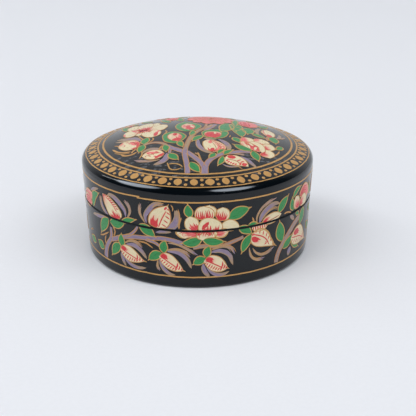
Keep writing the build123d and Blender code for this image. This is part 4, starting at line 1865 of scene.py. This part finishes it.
@dataclass(frozen=True)
class PaleFloor:
    """The plain pale table.

    Attributes:
        name: The material's name.
        colour: The table.
        lighter: Its slightly lighter grain.
        dull: Its roughness.
        sheen: How little it mirrors.
    """

    name: str = "pale_floor"
    colour: Colour = screen(231, 234, 239)
    lighter: Colour = screen(236, 239, 244)
    dull: float = 0.75
    sheen: float = 0.2

    def make(self) -> bpy.types.Material:
        """Builds the material.

        Returns:
            The material.
        """
        shader = Shader(self.name)
        grain = shader.noise(shader.place(), 900, 3).ramp(0.3, 0.7) * 0.3
        shader.feed(shader.surface.inputs["Base Color"], shader.mix(grain, self.colour, self.lighter))
        shader.surface.inputs["Roughness"].default_value = self.dull
        shader.surface.inputs["Specular IOR Level"].default_value = self.sheen
        return shader.material


PAINTS: dict[Paint, EnamelPaint] = {
    Paint.MAUVE: EnamelPaint(
        "stem_mauve", screen(130, 114, 138), screen(162, 134, 104), screen(152, 136, 156), streaking=0.6),
    Paint.LEAF: EnamelPaint("leaf_green", screen(34, 130, 64), screen(22, 102, 50), screen(54, 144, 80)),
    Paint.PETAL: EnamelPaint(
        "petal_cream", screen(220, 205, 164), screen(224, 106, 104), screen(232, 221, 190), streaking=0.6),
    Paint.RED: EnamelPaint("petal_red", screen(200, 36, 46), screen(228, 112, 110), screen(214, 66, 68)),
    Paint.LINE: EnamelPaint(
        "gold_paint", screen(192, 144, 80), screen(168, 92, 54), screen(210, 166, 104),
        streaking=0.6, metal=0.25, gloss=0.34, soft=0.15),
}


# ------------------------------------------------------------------ the box, dressed
@dataclass
class PaintedBox:
    """The whole box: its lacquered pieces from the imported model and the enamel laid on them.

    Attributes:
        form: The outside form of the box.
        enamel: How the enamel lies.
        bare_rim: Width of the lacquer left bare beside each rim's broken edge.
        first_seed: Seed of the edges' noise and of the first paint's irregularities.
    """

    form: BoxForm = field(default_factory=BoxForm)
    enamel: Enamel = field(default_factory=Enamel)
    bare_rim: float = 0.1
    first_seed: int = 100

    def dress(self) -> None:
        """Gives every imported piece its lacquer."""
        lacquer = BlackLacquer().make()
        inside = InsideLacquer().make()
        finishes = {
            "base_wall": lacquer,
            "lid_wall": lacquer,
            "lid_dome": lacquer,
            "base_floor": inside,
            "inner_collar": inside,
        }
        for node, finish in finishes.items():
            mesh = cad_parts[node].data
            mesh.materials.clear()
            mesh.materials.append(finish)
            log.info("lacquered %s", node)

    def paint(self) -> None:
        """Lays all the enamel, one piece for each paint on each body."""
        wall, crown = WallPlace(self.form), CrownPlace(self.form)
        half_turn = math.pi * wall.rim_radius
        sprays = {
            "spray": (WallOrnament().draw(half_turn), CrownOrnament().draw()),
            "border": (Border().wall(half_turn), Border().crown()),
        }
        gap = self.form.lip_bevel + self.bare_rim
        base_band = (0.0, wall.parting - gap)
        lid_band = (wall.parting + gap, self.form.shoulder_height)
        everywhere = (-100.0, 100.0)
        # Unseeded, the noise that moves the enamel's edges would differ from run to run.
        noise.seed_set(self.first_seed)
        for kind, (on_wall, on_crown) in sprays.items():
            for i, (paint, finish) in enumerate(PAINTS.items()):
                if kind == "border" and paint is not Paint.LINE:
                    continue
                slot = finish.name
                material = bpy.data.materials.get(slot) or finish.make()
                label = paint.value if kind == "spray" else "border"
                touches = [t for t in on_wall.touches if t.paint is paint]
                on_top = (crown, [t for t in on_crown.touches if t.paint is paint], everywhere)
                for body, groups in (
                    ("base", [(wall, self.inside(touches, base_band), base_band)]),
                    ("lid", [(wall, self.inside(touches, lid_band), lid_band), on_top]),
                ):
                    piece = self.enamel.build(f"{body}_{label}", groups, self.first_seed + i)
                    piece.data.materials.append(material)
                    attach(piece, body)
                    log.info("%s: %d faces", piece.name, len(piece.data.polygons))

    @staticmethod
    def inside(touches: Sequence[Touch], band: Point) -> list[Touch]:
        """The touches that reach into a band of height.

        Args:
            touches: Touches on the wall.
            band: Lowest and highest height.

        Returns:
            Those with any part of them in the band.
        """

        def reaches(touch: Touch) -> bool:
            """Whether any part of a touch lies in the band."""
            heights = [k.y for k in (*touch.shape.left.knots, *touch.shape.right.knots)]
            return max(heights) > band[0] and min(heights) < band[1]

        return [touch for touch in touches if reaches(touch)]


# ------------------------------------------------------------------ the studio
@dataclass(frozen=True)
class StripLamp:
    """A long narrow softbox that faces the box.

    Attributes:
        name: Its name.
        start: One end of its middle line, in metres.
        stop: The other end.
        width: Its width, in metres.
        glow: How bright its face is, where 1 is white.
        mirrored: Whether it shows in the lacquer.
    """

    name: str
    start: Spot
    stop: Spot
    width: float
    glow: float
    mirrored: bool = True

    def hang(self) -> None:
        """Adds the lamp to the scene."""
        start, stop = Vector(self.start), Vector(self.stop)
        middle = (start + stop) / 2
        away = middle.normalized()
        along = stop - start
        long_side = (along - away * along.dot(away)).normalized()
        light = bpy.data.lights.new(self.name, "AREA")
        light.shape = "RECTANGLE"
        light.size, light.size_y = along.length, self.width
        light.energy = self.glow * math.pi * along.length * self.width
        lamp = bpy.data.objects.new(self.name, light)
        turn = Matrix((long_side, away.cross(long_side), away)).transposed()
        lamp.matrix_world = Matrix.Translation(middle) @ turn.to_4x4()
        lamp.visible_glossy = self.mirrored
        bpy.context.scene.collection.objects.link(lamp)


@dataclass
class Studio:
    """The pale floor, the soft light and the camera.

    Attributes:
        focal: The lens's focal length, in pixels of the square picture.
        picture: Side of the square picture, in pixels.
        pitch: Degrees that the camera looks down.
        distance: From the camera to what it aims at, in millimetres.
        aim: What it aims at, in millimetres.
        lamps: The lamps.
        backdrop: What the camera sees behind the floor.
        fill_colour: The surroundings' light.
        fill: Strength of the surroundings' light, least and most.
        fill_from: Where most of it comes from.
        room: What the lacquer mirrors between the windows.
        room_glow: How bright that is in front of the box and behind it.
        daylight: The windows that the lacquer mirrors.
        windows: Where they lie.
        window_edge: Cosines of the angles from a window's middle at which it ends and is full.
        window_glow: How bright they are.
        floor_radius: Radius of the floor, in metres.
    """

    focal: float = 832.4
    picture: float = 416.0
    pitch: float = 22.03
    distance: float = 282.2
    aim: Spot = (3.44, 0.0, 11.53)
    lamps: tuple[StripLamp, ...] = (
        StripLamp("left_strip", (-1.66, 0.6, 0.9), (-1.2, -0.14, 1.24), 0.1, 9.0),
        StripLamp("left_softbox", (-1.2, -0.14, 1.24), (-0.66, -1.0, 1.6), 0.5, 3.2, False),
        StripLamp("right_softbox", (0.4, -1.05, 1.65), (1.48, -0.26, 1.32), 0.5, 2.6, False),
    )
    backdrop: Colour = screen(230, 233, 238)
    fill_colour: Colour = screen(245, 245, 247)
    fill: Point = (0.14, 1.08)
    fill_from: Spot = (0.0, -0.37, 0.93)
    room: Colour = screen(230, 232, 236)
    room_glow: Point = (0.03, 0.92)
    daylight: Colour = screen(224, 233, 245)
    windows: tuple[Spot, ...] = ((-0.67, -0.13, 0.73), (0.46, -0.5, 0.73))
    window_edge: Point = (0.935, 0.975)
    window_glow: float = 12.0
    floor_radius: float = 8.0

    def camera(self) -> None:
        """Sets the camera at the photograph's angle."""
        sensor = 36.0
        lens = bpy.data.cameras.new("camera")
        lens.sensor_width = sensor
        lens.lens = self.focal / self.picture * sensor
        lens.clip_start = 0.01
        camera = bpy.data.objects.new("camera", lens)
        pitch = math.radians(self.pitch)
        back = Vector((0.0, -math.cos(pitch), math.sin(pitch))) * self.distance
        camera.location = (Vector(self.aim) + back) * MM
        camera.rotation_euler = (math.pi / 2 - pitch, 0.0, 0.0)
        bpy.context.scene.collection.objects.link(camera)
        bpy.context.scene.camera = camera

    def floor(self) -> None:
        """Lays the floor."""
        mesh = bpy.data.meshes.new("floor")
        flat = bmesh.new()
        bmesh.ops.create_circle(flat, cap_ends=True, cap_tris=False, segments=96, radius=self.floor_radius)
        flat.to_mesh(mesh)
        flat.free()
        mesh.materials.append(PaleFloor().make())
        floor = bpy.data.objects.new("floor", mesh)
        bpy.context.scene.collection.objects.link(floor)

    def world(self) -> None:
        """Makes the surroundings: light from above, pale to the camera, and windows in the gloss."""
        world = bpy.data.worlds.new("studio")
        bpy.context.scene.world = world
        nodes = Nodes(world)
        way = nodes.node("ShaderNodeTexCoord", {}, {}).outputs["Generated"]

        def towards(direction: Spot) -> Value:
            """How far a ray points one way: 1 straight along it, 0 square to it."""
            pointing = nodes.node(
                "ShaderNodeVectorMath", {"operation": "DOT_PRODUCT"}, {0: way, 1: direction})
            return Value(nodes, pointing.outputs["Value"])

        def glow(colour: Colour, strength: Value | float) -> bpy.types.NodeSocket:
            """A glow of one colour."""
            light = {"Color": colour, "Strength": strength}
            return nodes.node("ShaderNodeBackground", {}, light).outputs[0]

        def either(ray: str, no: bpy.types.NodeSocket, yes: bpy.types.NodeSocket) -> bpy.types.NodeSocket:
            """One glow for a kind of ray, and another for the rest."""
            chosen = nodes.node("ShaderNodeLightPath", {}, {}).outputs[ray]
            return nodes.node("ShaderNodeMixShader", {}, {0: chosen, 1: no, 2: yes}).outputs[0]

        gloss = glow(self.room, towards((0.0, 1.0, 0.0)).ramp(0.0, 0.8, *self.room_glow))
        for window in self.windows:
            strength = towards(window).ramp(*self.window_edge, 0.0, self.window_glow)
            panes = glow(self.daylight, strength)
            gloss = nodes.node("ShaderNodeAddShader", {}, {0: gloss, 1: panes}).outputs[0]
        lit = glow(self.fill_colour, towards(self.fill_from).ramp(-0.1, 1.0, *self.fill))
        whole = either("Is Glossy Ray", lit, gloss)
        whole = either("Is Camera Ray", whole, glow(self.backdrop, 1.0))
        nodes.node("ShaderNodeOutputWorld", {}, {"Surface": whole})

    def build(self) -> None:
        """Sets up the whole studio."""
        self.camera()
        self.floor()
        self.world()
        for lamp in self.lamps:
            lamp.hang()
        bpy.context.scene.view_settings.view_transform = "Standard"


def main() -> None:
    """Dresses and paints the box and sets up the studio."""
    logging.basicConfig(level=logging.INFO, format="%(message)s")
    Studio().build()
    box = PaintedBox()
    box.dress()
    box.paint()


if __name__ == "__main__":
    main()
